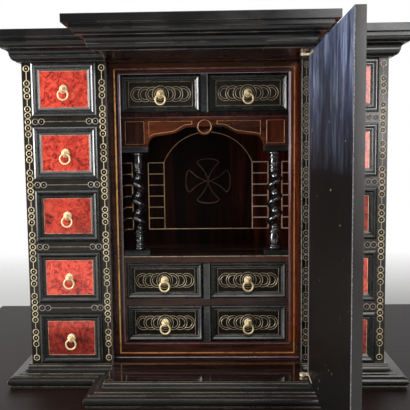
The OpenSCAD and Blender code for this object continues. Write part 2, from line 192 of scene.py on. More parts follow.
def smoked_oak():
    """The table under the cabinet: smoked oak rubbed with dull varnish."""
    material, tree, shader, place = new_material("smoked_oak")
    grain = fibres(tree, place, 0, 160, 6, Detail=5)
    brown = add(tree, "ValToRGB", {"Fac": grain}, stops=((0.3, "0f0907"), (0.7, "2a1914")))
    fill(tree, shader, {"Base Color": brown, "Roughness": 0.5, "Specular IOR Level": 0.25})
    return material


for place, size, power in LAMPS:
    bpy.ops.object.light_add(type="AREA", location=place,
                             rotation=(AIM - Vector(place)).to_track_quat("-Z", "Y").to_euler())
    lamp = bpy.context.object.data
    lamp.shape = "RECTANGLE"
    lamp.size, lamp.size_y = size
    lamp.energy = power

room = bpy.data.worlds.new("room")
room.use_nodes = True
room.node_tree.nodes["Background"].inputs["Color"].default_value = (ROOM_GREY, ROOM_GREY, ROOM_GREY, 1)
scene.world = room

bpy.ops.mesh.primitive_plane_add(size=1)
sweep = bpy.context.object
sweep.name = "sweep"
sweep.scale = (SWEEP_WIDTH, SWEEP_BACK - SWEEP_FRONT, 1)
sweep.location = (0, (SWEEP_BACK + SWEEP_FRONT) / 2, TABLE_LOW[2])
bpy.ops.object.transform_apply(location=True, rotation=True, scale=True)
pick(sweep, lambda a, b: a.co.y > 0 and b.co.y > 0, edges=True)
bpy.ops.mesh.extrude_region_move(TRANSFORM_OT_translate={"value": (0, 0, SWEEP_HEIGHT)})
close(sweep)
bend = sweep.modifiers.new("bend", "BEVEL")
bend.width = SWEEP_BEND
bend.segments = 12
bend.limit_method = "ANGLE"
bpy.ops.object.modifier_apply(modifier=bend.name)
bpy.ops.object.shade_smooth()
sweep.data.materials.append(sweep_paper())
table = box_between("table_top", TABLE_LOW, TABLE_HIGH)
table.data.materials.append(smoked_oak())


# Case
# Pearwood boards stained black and waxed, glued up with lapped corners. The sides show at the left and
# right, and the undyed walnut of the uprights and runner boards shows only when a drawer is out.
ARRIS = 0.0004
NEAR_BOARD, NEAR_FACE, NEAR_MOUTH = 0.02, 0.001, 0.0015


def smears(tree, place, gloss, **look):
    """The smears that wax and hands leave, and the roughness that wanders with them between two values."""
    smear = add(tree, "TexNoise", {"Vector": place, **look})
    return smear, add(tree, "MapRange", {"Value": smear, "From Min": 0.3, "From Max": 0.7,
                                         "To Min": gloss[0], "To Max": gloss[1]})


def ebonised_pearwood(name, along, tones=("0d0b0a", "171310", "241c17"), gloss=(0.2, 0.4),
                      rub=(0.46, 0.7, "6d5a4c"), shine=0.5):
    """Black-stained pearwood under wax: fine grain along an axis, smears in the gloss, brown arrises."""
    material, tree, shader, place = new_material(name)
    grain = fibres(tree, place, along, 700, 24, Detail=5, Roughness=0.6)
    smear, rough = smears(tree, place, gloss, Scale=17, Detail=4, Distortion=0.6)
    black = add(tree, "ValToRGB", {"Fac": grain}, stops=zip((0.3, 0.55, 0.78), tones))
    eased = add(tree, "Bevel", {"Radius": 0.0009}, samples=4)
    facing = add(tree, "VectorMath", {0: eased, 1: add(tree, "NewGeometry").outputs["Normal"]},
                 operation="DOT_PRODUCT")
    edge = add(tree, "MapRange", {"Value": facing.outputs["Value"], "From Min": 0.99, "From Max": 0.86})
    rubbed = add(tree, "MapRange", {"Value": smear, "From Min": rub[0], "From Max": rub[1], "To Max": 0.85})
    wear = add(tree, "Math", {0: edge, 1: rubbed}, operation="MULTIPLY")
    colour = add(tree, "Mix", {0: wear, 6: black, 7: srgb(rub[2])}, data_type="RGBA").outputs[2]
    relief = add(tree, "Bump", {"Height": grain, "Strength": 0.12, "Distance": 0.0004})
    fill(tree, shader, {"Base Color": colour, "Roughness": rough, "Specular IOR Level": shine,
                        "Normal": relief})
    return material


def undyed_walnut(name, along):
    """Plain planed walnut, unpolished: brown growth bands along one axis, and open pores."""
    material, tree, shader, place = new_material(name)
    bands = fibres(tree, place, along, 60, 5, Detail=4, Distortion=1.2)
    pores = fibres(tree, place, along, 1400, 70, Detail=2)
    brown = add(tree, "ValToRGB", {"Fac": bands},
                stops=((0.3, "4a3222"), (0.52, "6b4a33"), (0.75, "7f5c40")))
    dark = add(tree, "MapRange", {"Value": pores, "From Min": 0.5, "From Max": 0.72, "To Max": 0.55})
    colour = add(tree, "Mix", {0: dark, 6: brown, 7: srgb("33221a")}, data_type="RGBA").outputs[2]
    relief = add(tree, "Bump", {"Height": pores, "Strength": 0.2, "Distance": 0.0003})
    fill(tree, shader, {"Base Color": colour, "Roughness": 0.62, "Normal": relief})
    return material


def rosewood(name, along, tint, gloss=(0.16, 0.32), shine=0.4, light_tint_change=None, open_pores=0.06):
    """Rosewood veneer under old varnish: near-black ribbon figure in red-brown, fine pores, warm gloss. With
    light_tint_change, an (axis, start, end, tint), it turns to another tint along that axis of the part, as
    painted light."""
    material, tree, shader, place = new_material(name)
    figure = fibres(tree, place, along, 75, 4, Detail=6, Roughness=0.62, Distortion=0.9)
    pores = fibres(tree, place, along, 1500, 60, Detail=2)
    steps = (0.34, 0.5, 0.68)
    red = add(tree, "ValToRGB", {"Fac": figure}, stops=zip(steps, tint))
    if light_tint_change:
        axis, start, end, other = light_tint_change
        lit_red = add(tree, "ValToRGB", {"Fac": figure}, stops=zip(steps, other))
        share = add(tree, "MapRange", {"Value": add(tree, "SeparateXYZ", {0: place}).outputs[axis],
                                       "From Min": start, "From Max": end})
        red = add(tree, "Mix", {0: share, 6: red, 7: lit_red}, data_type="RGBA").outputs[2]
    dark = add(tree, "MapRange", {"Value": pores, "From Min": 0.5, "From Max": 0.7, "To Max": 0.6})
    colour = add(tree, "Mix", {0: dark, 6: red, 7: srgb("120807")}, data_type="RGBA").outputs[2]
    relief = add(tree, "Bump", {"Height": pores, "Strength": open_pores, "Distance": 0.0003})
    fill(tree, shader, {"Base Color": colour, "Roughness": smears(tree, place, gloss, Scale=21, Detail=3)[1],
                        "Specular IOR Level": shine, "Normal": relief})
    return material


def dress(piece, slot, *materials, body="cabinet", node=None, choose=None):
    """Gives a piece its materials, chosen for each face by its centre and normal if there are several, and
    says its body and the CAD node that it stands for. The slot is not used."""
    for material in materials:
        piece.data.materials.append(material)
    if choose:
        for face in piece.data.polygons:
            face.material_index = choose(face.center, face.normal)
    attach(piece, body)
    if node:
        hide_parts(node)
    return piece


def ease_arrises(piece, width):
    """Takes the arrises off as a plane stroke does, and weights the normals so broad faces shade flat."""
    only(piece)
    ease = piece.modifiers.new("ease", "BEVEL")
    ease.width = width
    ease.segments = 2
    ease.limit_method = "ANGLE"
    ease.angle_limit = math.radians(30)
    ease.use_clamp_overlap = False
    bpy.ops.object.modifier_apply(modifier=ease.name)
    bpy.ops.object.shade_smooth_by_angle(angle=math.radians(30))
    broad = piece.modifiers.new("broad_faces", "WEIGHTED_NORMAL")
    broad.keep_sharp = True
    bpy.ops.object.modifier_apply(modifier=broad.name)


def eased_copy(node, name, slot, *materials, choose=None, width=ARRIS, reshape=None):
    """A CAD node's copy that stands for it: doubles merged, points reshaped if asked, arrises eased."""
    piece = bpy.data.objects.new(name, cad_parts[node].data.copy())
    scene.collection.objects.link(piece)
    piece.data.materials.clear()
    only(piece)
    bpy.ops.mesh.customdata_custom_splitnormals_clear()
    bpy.ops.object.mode_set(mode="EDIT")
    bpy.ops.mesh.select_all(action="SELECT")
    bpy.ops.mesh.remove_doubles(threshold=0.00001)
    bpy.ops.mesh.dissolve_limited(angle_limit=math.radians(0.5))
    close(piece)
    if reshape:
        for vertex in piece.data.vertices:
            vertex.co = reshape(vertex.co)
    ease_arrises(piece, width)
    return dress(piece, slot, *materials, node=node, choose=choose)


pear_upright = ebonised_pearwood("ebonised_pearwood_upright", 2)
walnut = undyed_walnut("planed_walnut", 1)
rosewood_ledge = rosewood("rosewood_ledge", 0, ("130b09", "271815", "51453f"), (0.02, 0.12), 0.9,
                          open_pores=0.01)
# Dark rosewood: the chain discs and the valance cap show it as their own colour. On the roof of the centre
# bay, the cornice's soffit and the portico's left upright it is painted shade.
rosewood_smoked_and_painted_shade = rosewood("rosewood_smoked_and_painted_shade", 2, ("0a0504", "190b07", "30140b"), shine=0.25)
case_low, case_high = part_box("carcass")
bay_low, bay_high = (corner.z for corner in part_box("face_frame"))
inner_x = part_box("portico_frame")[1].x


def case_finish(centre, normal):
    """Which wood a face of the case shows: rosewood at the floor (2) and roof (3) of the centre bay, the roof
    dark as painted shade, stained pearwood at the sides, the front edges and the bay's mouth (0), and bare
    walnut elsewhere (1)."""
    across = abs(centre.x)
    if across < inner_x and normal.z > 0.9 and centre.z < bay_low + NEAR_BOARD:
        return 2
    if across < inner_x and normal.z < -0.9 and centre.z > bay_high - NEAR_BOARD:
        return 3
    at_side, at_mouth = across > case_high.x - NEAR_FACE, abs(across - inner_x) < NEAR_MOUTH
    return 0 if at_side or at_mouth or normal.y < -0.5 else 1


eased_copy("carcass", "case_boards", "ebonised_wood", pear_upright, walnut, rosewood_ledge, rosewood_smoked_and_painted_shade,
           choose=case_finish)
eased_copy("back_panel", "back_boards", "plain_wood", undyed_walnut("planed_walnut_upright", 2))


# Centre boards
# The shelves and dividers that carry the inner drawers. Their front edges are lipped: the level ones with
# rosewood, the upright ones with hollowed ebony, and the floor of the niche is veneered and polished.
NICHE_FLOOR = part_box("columns")[0].z
BOARDS_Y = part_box("partitions")[0].y
LIP_PROUD, LIP_DEPTH, LIP_BEAD, LIP_GAP = 0.0013, 0.004, 0.0016, 0.0005
LIP_HOLLOW, FRONT_ZONE = 0.00078, 0.04


def ebony(name, tones, gloss, shine, polish=0):
    """Solid ebony, waxed or French polished: cold black with barely browner streaks."""
    material, tree, shader, place = new_material(name)
    black = add(tree, "ValToRGB", {"Fac": fibres(tree, place, 0, 400, 60, Detail=4)},
                stops=zip((0.35, 0.6, 0.8), tones))
    fill(tree, shader, {"Base Color": black, "Roughness": smears(tree, place, gloss, Scale=40, Detail=3)[1],
                        "Specular IOR Level": shine, "Coat Weight": polish, "Coat Roughness": 0.1,
                        "Coat IOR": 1.9})
    return material


def board_finish(centre, normal):
    """Which wood a face of the centre boards shows: lipping in front (1), polished floor in the niche (2),
    or bare walnut (0)."""
    if normal.y < -0.5 and centre.y < case_low.y + FRONT_ZONE:
        return 1
    return 2 if normal.z > 0.9 and abs(centre.z - NICHE_FLOOR) < NEAR_FACE else 0


rosewood_level = rosewood("rosewood_level", 0, ("140a07", "30180f", "4c2817"), shine=0.35)
moulding_ebony = ebony("moulding_ebony", ("171817", "262827", "3b3c3a"), (0.17, 0.32), 0.8)
eased_copy("partitions", "centre_boards", "rosewood", walnut, rosewood_level, rosewood_ledge,
           choose=board_finish)
for row in ("top", "mid", "low"):
    left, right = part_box(f"drawer_{row}_left"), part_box(f"drawer_{row}_right")
    lip = box_between("divider_lip_" + row, (left[1].x + LIP_GAP, BOARDS_Y - LIP_PROUD, left[0].z - LIP_GAP),
                      (right[0].x - LIP_GAP, BOARDS_Y + LIP_DEPTH, left[1].z + LIP_GAP))
    pick(lip, lambda c, n: n.y < -0.9)
    bpy.ops.mesh.inset(thickness=LIP_BEAD, depth=-LIP_HOLLOW, use_even_offset=True)
    dress(close(lip), "rosewood", moulding_ebony, node="partitions")


# Face frame and its chain
# Worn ebonised facing on the stiles and rails. A chain of small brass rings round dark discs is let into
# each stile: five at each rail and three beside each drawer, joined by short bars. Each rail has two more at
# either end, and the inner edges of the inner stiles are lipped and rubbed bare.
FACE_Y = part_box("face_frame")[0].y
RING_PITCH, RING_RADIUS, RING_WIDTH, DOT_RADIUS = 0.01, 0.0045, 0.0015, 0.0007
DISC_T = 0.0003
BAR_WIDTH = 0.0011
CHAIN_X = 0.162
END_GAP = 0.0085
RAIL_RINGS = (0.0118, 0.0217)
PROUD = 0.00035
VENEER_T, VENEER_PROUD, LIPPING_PROUD = 0.001, 0.0001, 0.0002
LIP_LEFT, LIP_RIGHT, PAINTED_SHADE_RIGHT = (-0.1572, -0.1545), (0.1543, 0.1556), (0.1556, 0.1705)


def string_brass(name, bright, aged):
    """Drawn brass stringing, rubbed flush and aged: brighter where it was burnished, brown in the pits."""
    material, tree, shader, place = new_material(name)
    patch = add(tree, "TexNoise", {"Vector": place, "Scale": 90, "Detail": 5, "Roughness": 0.65})
    colour = add(tree, "ValToRGB", {"Fac": patch}, stops=((0.34, aged), (0.5, bright), (0.8, bright)))
    fill(tree, shader, {"Base Color": colour, "Metallic": 0.3, "Roughness": 0.42})
    return material


def worn_lip_and_highlight(name, tones):
    """Bare, dusty wood where hands have rubbed the stain off, with dark and pale specks. On the door's edges
    its grey tones are partly a painted highlight.
    """
    material, tree, shader, place = new_material(name)
    speck = add(tree, "TexNoise", {"Vector": place, "Scale": 520, "Detail": 4, "Roughness": 0.7})
    colour = add(tree, "ValToRGB", {"Fac": speck}, stops=zip((0.42, 0.54, 0.68), tones))
    fill(tree, shader, {"Base Color": colour, "Roughness": 0.5})
    return material


def copy_of(source, name, offset):
    """A copy of a piece with its own mesh, moved by an offset."""
    piece = bpy.data.objects.new(name, source.data.copy())
    piece.data.transform(Matrix.Translation(offset))
    scene.collection.objects.link(piece)
    return piece


def join(pieces, name):
    """Joins pieces into one of that name."""
    only(*pieces)
    if len(pieces) > 1:
        bpy.ops.object.join()
    pieces[0].name = name
    return pieces[0]


def strewn(first, points, name):
    """One piece made of copies of the first at each (x, z); the first itself goes."""
    copies = [copy_of(first, name, (x, 0, z)) for x, z in points]
    bpy.data.objects.remove(first)
    return join(copies, name)


def knit(threshold=0.00001, holes=False):
    """Merges the active piece's doubles, fills its holes if asked, and turns its faces out."""
    bpy.ops.object.mode_set(mode="EDIT")
    bpy.ops.mesh.select_all(action="SELECT")
    bpy.ops.mesh.remove_doubles(threshold=threshold)
    if holes:
        bpy.ops.mesh.fill_holes(sides=0)
    bpy.ops.mesh.normals_make_consistent(inside=False)
    bpy.ops.object.mode_set(mode="OBJECT")


def draw_path(points, closed):
    """An outline in the ground plane: a circle primitive whose points are moved, and opened if need be."""
    bpy.ops.object.select_all(action="DESELECT")
    bpy.ops.mesh.primitive_circle_add(vertices=len(points))
    outline = bpy.context.object
    for vertex, (x, z) in zip(outline.data.vertices, points):
        vertex.co = (x, z, 0)
    if not closed:
        pick(outline, lambda a, b: {a.index, b.index} == {0, len(points) - 1}, edges=True)
        bpy.ops.mesh.delete(type="EDGE")
        close(outline)
    return outline


def line(x1, z1, x2, z2):
    """A straight run, as the points of an open path."""
    return [(x1, z1), ((x1 + x2) / 2, (z1 + z2) / 2), (x2, z2)], False


def rectangle(x1, z1, x2, z2):
    """Four sides, as the points of a closed path."""
    return [(x1, z1), (x2, z1), (x2, z2), (x1, z2)], True


def arc(x, z, radius, start=0, end=360, steps=24):
    """Points along an arc, in degrees from +x; a whole circle leaves its last point to the first."""
    count = steps if abs(end - start) == 360 else steps + 1
    turn = [math.radians(start + (end - start) * i / steps) for i in range(count)]
    return [(x + radius * math.cos(a), z + radius * math.sin(a)) for a in turn], count == steps


def string_work(name, paths, y, width, material, slot="brass", body="cabinet", proud=PROUD):
    """Stringing let into a face that looks forward at y: each path is (points as (x, z), closed). The paths
    become a curve of diamond section, half sunk and flattened to stand barely proud."""
    join([draw_path(points, closed) for points, closed in paths], name)
    bpy.ops.object.convert(target="CURVE")
    curve = bpy.context.object.data
    curve.bevel_depth = width / 2
    curve.bevel_resolution = 0
    curve.use_fill_caps = True
    bpy.ops.object.convert(target="MESH")
    piece = bpy.context.object
    piece.data.transform(Matrix.Translation((0, y, 0)) @ Matrix.Diagonal((1, proud * 2 / width, 1, 1))
                         @ Matrix.Rotation(math.pi / 2, 4, "X"))
    knit(0.000001)
    bpy.ops.object.shade_smooth_by_angle(angle=math.radians(50))
    return dress(piece, slot, material, body=body)


def strip(name, across, y, up, material, slot, node=None, proud=VENEER_PROUD):
    """A thin strip of veneer let into a face that looks forward at y, from side to side and foot to head."""
    piece = box_between(name, (across[0], y - proud, up[0]), (across[1], y + VENEER_T, up[1]))
    dress(piece, slot, material, node=node)


pear_worn = ebonised_pearwood("ebonised_pearwood_worn", 2, ("0e0a06", "1c160e", "33291c"), (0.22, 0.42))
# A near-black, low-gloss copy of the ebonised pearwood: the door's shadow painted on the right stile.
pear_painted_shade = ebonised_pearwood("ebonised_pearwood_painted_shade", 2, ("050403", "0b0906", "15100a"), (0.16, 0.24),
                                (0.6, 0.8, "2a231c"), shine=0.08)
pale_string = string_brass("pale_brass_string", "cfc2a0", "7d715a")
grey_string = string_brass("grey_brass_string", "8d887b", "57534a")
door_shade_brass = string_brass("brass_string_painted_door_shade", "6e6654", "453f33")
bare_wood = worn_lip_and_highlight("bare_pearwood_edge", ("15100c", "3b3128", "7a6b5d"))
pale_wood = worn_lip_and_highlight("pale_pearwood_edge", ("3c3831", "8b8579", "b9b4a8"))
eased_copy("face_frame", "facing", "ebonised_wood", pear_worn)

drawer_boxes = [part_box(f"drawer_left_{i}") for i in range(1, 6)]
rails = [(upper[0].z + lower[1].z) / 2 for upper, lower in zip(drawer_boxes, drawer_boxes[1:])]
stile_span = drawer_boxes[-1][0].z, drawer_boxes[0][1].z
outer_x = (abs(drawer_boxes[0][0].x) + case_high.x) / 2
groups = sorted([(stile_span[0] + END_GAP, 1), (stile_span[1] - END_GAP, 1)] + [(z, 5) for z in rails]
                + [((low.z + high.z) / 2, 3) for low, high in drawer_boxes])
rail_end = RAIL_RINGS[1] + RING_RADIUS
chain, door_chain, rail_chain = ([], []), ([], []), ([], [])
for side in (-1, 1):
    for x, bankward in ((side * CHAIN_X, side), (side * outer_x, -side)):
        # The chain beside the door is in its shade, so its brass is painted darker as painted shade.
        centres, bars = door_chain if x == CHAIN_X else chain
        for z, count in groups:
            centres += [(x, z + (k - (count - 1) / 2) * RING_PITCH) for k in range(count)]
        for (z_a, n_a), (z_b, n_b) in zip(groups, groups[1:]):
            foot = z_a + (n_a - 1) / 2 * RING_PITCH + RING_RADIUS
            head = z_b - (n_b - 1) / 2 * RING_PITCH - RING_RADIUS
            if head > foot:
                bars.append(line(x, foot, x, head))
        rail_chain[0].extend((x + bankward * reach, z) for z in rails for reach in RAIL_RINGS)
    rail_chain[1].extend(line(side * (CHAIN_X + rail_end), z, side * (outer_x - rail_end), z) for z in rails)
for name, (centres, bars), brass in (("chain", chain, pale_string), ("door_chain", door_chain, door_shade_brass),
                                     ("rail", rail_chain, grey_string)):
    ring = string_work("ring", [arc(0, 0, RING_RADIUS, steps=14), arc(0, 0, DOT_RADIUS, steps=5)], FACE_Y,
                       RING_WIDTH, brass)
    dress(strewn(ring, centres, name + "_rings"), "brass")
    string_work(name + "_bars", bars, FACE_Y, BAR_WIDTH, brass)
bpy.ops.mesh.primitive_cylinder_add(vertices=12, radius=RING_RADIUS - RING_WIDTH / 3, depth=DISC_T,
                                    location=(0, FACE_Y, 0), rotation=(math.pi / 2, 0, 0))
disc = bpy.context.object
only(disc)
bpy.ops.object.transform_apply(location=True, rotation=True, scale=True)
dress(strewn(disc, chain[0] + door_chain[0] + rail_chain[0], "chain_discs"), "rosewood", rosewood_smoked_and_painted_shade)
strip("stile_lip_left", LIP_LEFT, FACE_Y, stile_span, bare_wood, "ebonised_wood", proud=LIPPING_PROUD)
strip("stile_lip_right", LIP_RIGHT, FACE_Y, stile_span, pale_wood, "ebonised_wood", proud=LIPPING_PROUD)
# A near-black strip over the right stile beside the door: painted shade of the door.
strip("stile_painted_shade_right", PAINTED_SHADE_RIGHT, FACE_Y, stile_span, pear_painted_shade, "ebonised_wood")


# Portico
# A rosewood frame round the centre bay, strung with a brass line. Its right upright is painted lighter and
# redder as painted light, and its left upright darker as painted shade. A polished bead of rosewood, painted
# pale lilac-grey partly as a painted highlight, runs round its inner edge, and another along its foot.
PORTICO_LOW, PORTICO_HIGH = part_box("portico_frame")
PORTICO_Y = PORTICO_LOW.y + 0.001
LEDGE_Z = PORTICO_LOW.z
SILL_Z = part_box("drawer_low_left")[0].z - 0.0005
HEAD_Z = PORTICO_HIGH.z - 0.017
UPRIGHT_X = 0.138
LINE_X, LINE_INSET, LINE_W = 0.1455, 0.0095, 0.0023
FOOT_X, FOOT_RISE, FOOT_W, FOOT_PROUD = 0.153, 0.0014, 0.0022, 0.0008
BEAD_X, BEAD_W, BEAD_PROUD = 0.1385, 0.0042, 0.00095
BEAD_LOW, BEAD_HIGH = SILL_Z - 0.0023, HEAD_Z + 0.0008
LIT_STRIP_RIGHT = (BEAD_X + 0.002, 0.1536)


def portico_finish(centre, normal):
    """Level grain at the foot and head of the frame (0), upright grain at its left (1) in darker rosewood as
    painted shade, and at its right (2) in lighter, redder rosewood as painted light.
    """
    if abs(centre.x) < UPRIGHT_X or not SILL_Z < centre.z < HEAD_Z:
        return 0
    return 1 if centre.x < 0 else 2


def framing(x, low, high):
    """The four sides of a frame about the middle of the cabinet, by name, as open paths."""
    return {"left": line(-x, low, -x, high), "right": line(x, low, x, high),
            "foot": line(-x, low, x, low), "head": line(-x, high, x, high)}


# Lighter, redder rosewood for the frame's right upright: painted light.
rosewood_painted_light_right = rosewood("rosewood_painted_light_right", 2, ("2c0f06", "5c240e", "8a3f1a"), shine=0.25)
# The beads' pale lilac-grey is partly a painted highlight. The upright beads turn paler towards their top, the
# right one most, as painted highlight.
bead_level = rosewood("rosewood_bead", 0, ("3a2024", "5a3a40", "7c5c64"), (0.2, 0.3), 1)
bead_left = rosewood("rosewood_bead_left_painted_highlight", 2, ("2a1512", "482824", "63403a"), (0.2, 0.3), 1,
                     ("Z", 0.25, 0.42, ("5a3a44", "806070", "a68c9c")))
bead_right = rosewood("rosewood_bead_right_painted_highlight", 2, ("3c1810", "6c3422", "8c503c"), (0.2, 0.3), 1,
                      ("Z", 0.28, 0.4, ("806c74", "b4a0a8", "d8ccd2")))
gold_string = string_brass("gold_brass_string", "dfa45c", "8a562a")
redder_brass = string_brass("brass_string_redder_tone", "c27d42", "804a22")
shaded_brass = string_brass("brass_string_painted_shade", "7a5746", "4c3328")
eased_copy("portico_frame", "portico", "rosewood", rosewood_level, rosewood_smoked_and_painted_shade, rosewood_painted_light_right,
           choose=portico_finish)
# One brass line, given a tone on each side as painted light and shade: gold at the left, redder at the right
# and foot, dull at the head.
for (name, path), brass in zip(framing(LINE_X, LEDGE_Z + LINE_INSET, PORTICO_HIGH.z - LINE_INSET).items(),
                               (gold_string, redder_brass, redder_brass, shaded_brass)):
    string_work("portico_line_" + name, [path], PORTICO_Y, LINE_W, brass)
string_work("portico_foot", [line(-FOOT_X, LEDGE_Z + FOOT_RISE, FOOT_X, LEDGE_Z + FOOT_RISE)], PORTICO_Y,
            FOOT_W, bead_level, slot="rosewood", proud=FOOT_PROUD)
for (name, path), veneer in zip(framing(BEAD_X, BEAD_LOW, BEAD_HIGH).items(),
                                (bead_left, bead_right, bead_level, bead_level)):
    string_work("portico_bead_" + name, [path], PORTICO_Y, BEAD_W, veneer, slot="rosewood", proud=BEAD_PROUD)
# A strip of the lighter rosewood over the right upright: painted light.
strip("portico_painted_light_right", LIT_STRIP_RIGHT, PORTICO_Y, (SILL_Z, PORTICO_HIGH.z - 0.006), rosewood_painted_light_right,
      "rosewood", node="portico_frame")


# Niche
# Dark rosewood walls, painted lighter and redder towards the right as painted light, strung with brass:
# courses of blocks at the sides, which run on round the side walls, an arch, and a cross with splayed arms.
# A pale string along the front edge of the polished floor is a painted highlight of its arris.
BACK_WALL_T = 0.004
COURSE_FOOT, COURSE_HEAD, COURSES = 0.2355, 0.3585, 6
NICHE_X, PIER_INNER, PIER_OUTER = 0.0022, 0.0812, 0.1103
FLANK_INNER, FLANK_OUTER = 0.138, 0.1496
ARCH_RISE = 0.0555
CROSS, CROSS_REACH = (0.002, 0.324), 0.041
CROSS_CORNER, CROSS_WAIST = (0.034, 0.0205), (0.017, 0.0022)
STRING, FINE_STRING, BROAD_STRING = 0.0014, 0.0011, 0.0018
SILL_X, SILL_DROP, SILL_W, SILL_PROUD = 0.1385, 0.0008, 0.001, 0.0004
WALL_LOW, WALL_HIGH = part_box("niche_lining")
BACK_Y = WALL_HIGH.y - BACK_WALL_T
WALL_FRONT, WALL_REAR = WALL_LOW.y + 0.004, BACK_Y - 0.0006

# Dark rosewood that turns lighter and redder towards the right: painted light.
rosewood_niche_painted_light = rosewood("rosewood_niche_painted_light", 2, ("070302", "130804", "2c1106"), (0.4, 0.55), 0.06,
                          ("X", 0.015, 0.085, ("160804", "341308", "6c240e")))
tan_string = string_brass("tan_brass_string", "f2c99b", "b5865c")
lit_brass = string_brass("brass_string_painted_light", "ffe9cc", "d8b088")
eased_copy("niche_lining", "niche_walls", "rosewood", rosewood_niche_painted_light)


def cross_arm(quarter):
    """The closed outline of one arm of the cross, turned by so many quarters."""
    (corner_x, corner_z), (waist_x, waist_z) = CROSS_CORNER, CROSS_WAIST
    side = []
    for t in (i / 8 for i in range(9)):
        pull = 2 * t * (1 - t)
        side.append((pull * waist_x + t * t * corner_x, pull * waist_z + t * t * corner_z))
    end = [(corner_x + (CROSS_REACH - corner_x) * math.cos(math.radians(a)),
            corner_z * math.sin(math.radians(a))) for a in (60, 40, 20, 0, -20, -40, -60)]
    points = side + end + [(x, -z) for x, z in reversed(side[1:])]
    turn = math.radians(90 * quarter)
    return ([(CROSS[0] + x * math.cos(turn) - z * math.sin(turn),
              CROSS[1] + x * math.sin(turn) + z * math.cos(turn)) for x, z in points], True)


arch_radius = (PIER_INNER ** 2 + ARCH_RISE ** 2) / (2 * ARCH_RISE)
spring = math.degrees(math.acos(PIER_INNER / arch_radius))
levels = [COURSE_FOOT + (COURSE_HEAD - COURSE_FOOT) * i / COURSES for i in range(COURSES + 1)]
arch = arc(NICHE_X, COURSE_HEAD + ARCH_RISE - arch_radius, arch_radius, spring, 180 - spring)
string_work("niche_arch", [arch], BACK_Y, FINE_STRING, tan_string)
string_work("niche_foot", [line(NICHE_X - PIER_OUTER, COURSE_FOOT, NICHE_X + PIER_OUTER, COURSE_FOOT)],
            BACK_Y, STRING, tan_string)
# The cross takes the dull brass as painted shade of the middle of the back wall.
string_work("niche_cross", [cross_arm(k) for k in range(4)], BACK_Y, STRING, shaded_brass)
# A pale string along the floor's front edge: a painted highlight of its arris.
sill = line(-SILL_X, NICHE_FLOOR - SILL_DROP, SILL_X, NICHE_FLOOR - SILL_DROP)
string_work("niche_edge_painted_highlight", [sill], BOARDS_Y, SILL_W, pale_string, proud=SILL_PROUD)
# The right courses are broader and in paler brass: painted light.
for name, side, width, brass in (("left", -1, STRING, tan_string),
                                 ("right", 1, BROAD_STRING, lit_brass)):
    inner, outer = NICHE_X + side * PIER_INNER, NICHE_X + side * PIER_OUTER
    courses = [line(x, COURSE_FOOT, x, COURSE_HEAD) for x in (inner, outer, side * FLANK_INNER)]
    courses += [line(side * FLANK_INNER, z, side * FLANK_OUTER, z) for z in levels]
    courses += [line(inner, z, outer, z) for z in levels[1:]]
    string_work("niche_courses_" + name, courses, BACK_Y, width, brass)
    runs = [line(WALL_FRONT, z, WALL_REAR, z) for z in levels]
    wall = string_work("wall_strings_" + name, runs, 0, STRING, tan_string)
    wall.data.transform(Matrix.Translation((side * (WALL_HIGH.x - BACK_WALL_T), 0, 0))
                        @ Matrix.Rotation(math.pi / 2, 4, "Z"))


# Valance
# A shaped rosewood board under the top drawers, strung with brass: a square over each column, a panel
# that follows the ogee on each side, and a ring in the roundel at the middle. A beaded cap runs along its
# top.
VALANCE_LOW, VALANCE_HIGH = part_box("valance")
SQUARE_LOW, SQUARE_HIGH, SQUARE_OUT = 0.3915, 0.4283, 0.1294
SQUARE_IN_LEFT, SQUARE_IN_RIGHT = 0.099, 0.1012
VENEER_SPAN = VALANCE_LOW.z + 0.0008, 0.434
RIGHT_REACH = 0.003
PANEL_IN, PANEL_OUT, PANEL_TOP = 0.0206, 0.0909, 0.428
ROUNDEL_Z, ROUNDEL_LINE, ROUNDEL_R = 0.419, 0.0109, 0.0138
OGEE_X, OGEE_R, OGEE_FOOT = 0.095, 0.0135, 0.006
EDGE_X, EDGE_Z, EDGE_ARC = 0.0765, 0.389, (0.016, 0.0155)
EDGE_SLOPE, EDGE_BREAK, EDGE_RISE, EDGE_RUN = 0.003, 0.285, 0.011, 0.35
LINE_GAP = 0.0042
EDGE_TOLERANCE, EDGE_TOP = 0.0001, ROUNDEL_Z + 0.002
CAP_Z, CAP_PROUD, CAP_DEPTH, CAP_GAP = 0.4345, 0.0009, 0.002, 0.0003
CAP_BEAD_W, CAP_BEAD_PROUD, CAP_BEAD_IN = 0.0016, 0.0006, 0.001


def corner_x(side):
    """Where the quarter round of the valance's lower edge is centred, out from the middle."""
    return EDGE_X + (RIGHT_REACH if side > 0 else 0)


def valance_edge(t, side):
    """The valance's lower edge from the quarter round (0) to the middle (1): nearly level, then an ogee up.
    The right half reaches a little further."""
    rise = min(1, max(0, (t - EDGE_BREAK) / EDGE_RUN))
    height = EDGE_SLOPE * min(1, t / EDGE_BREAK) + EDGE_RISE * (1 - math.cos(math.pi * rise)) / 2
    return corner_x(side) * (1 - t), EDGE_Z + EDGE_ARC[1] + height


def on_ogee(point):
    """Moves a point of the CAD valance's lower edge onto the curve drawn above."""
    x, z = abs(point.x), point.z
    side = math.copysign(1, point.x)
    foot, corner = VALANCE_LOW.z + OGEE_FOOT, OGEE_X - OGEE_R
    in_roundel = math.hypot(x, z - ROUNDEL_Z) < ROUNDEL_R + EDGE_TOLERANCE
    if in_roundel or x > OGEE_X + EDGE_TOLERANCE or z > EDGE_TOP:
        return point
    if x > corner:
        turn = math.atan2(max(0, z - foot), x - corner)
        return Vector((side * (corner_x(side) + EDGE_ARC[0] * math.cos(turn)), point.y,
                       min(z, EDGE_Z + EDGE_ARC[1] * math.sin(turn))))
    edge_x, edge_z = valance_edge(1 - x / corner, side)
    return Vector((side * edge_x, point.y, edge_z))


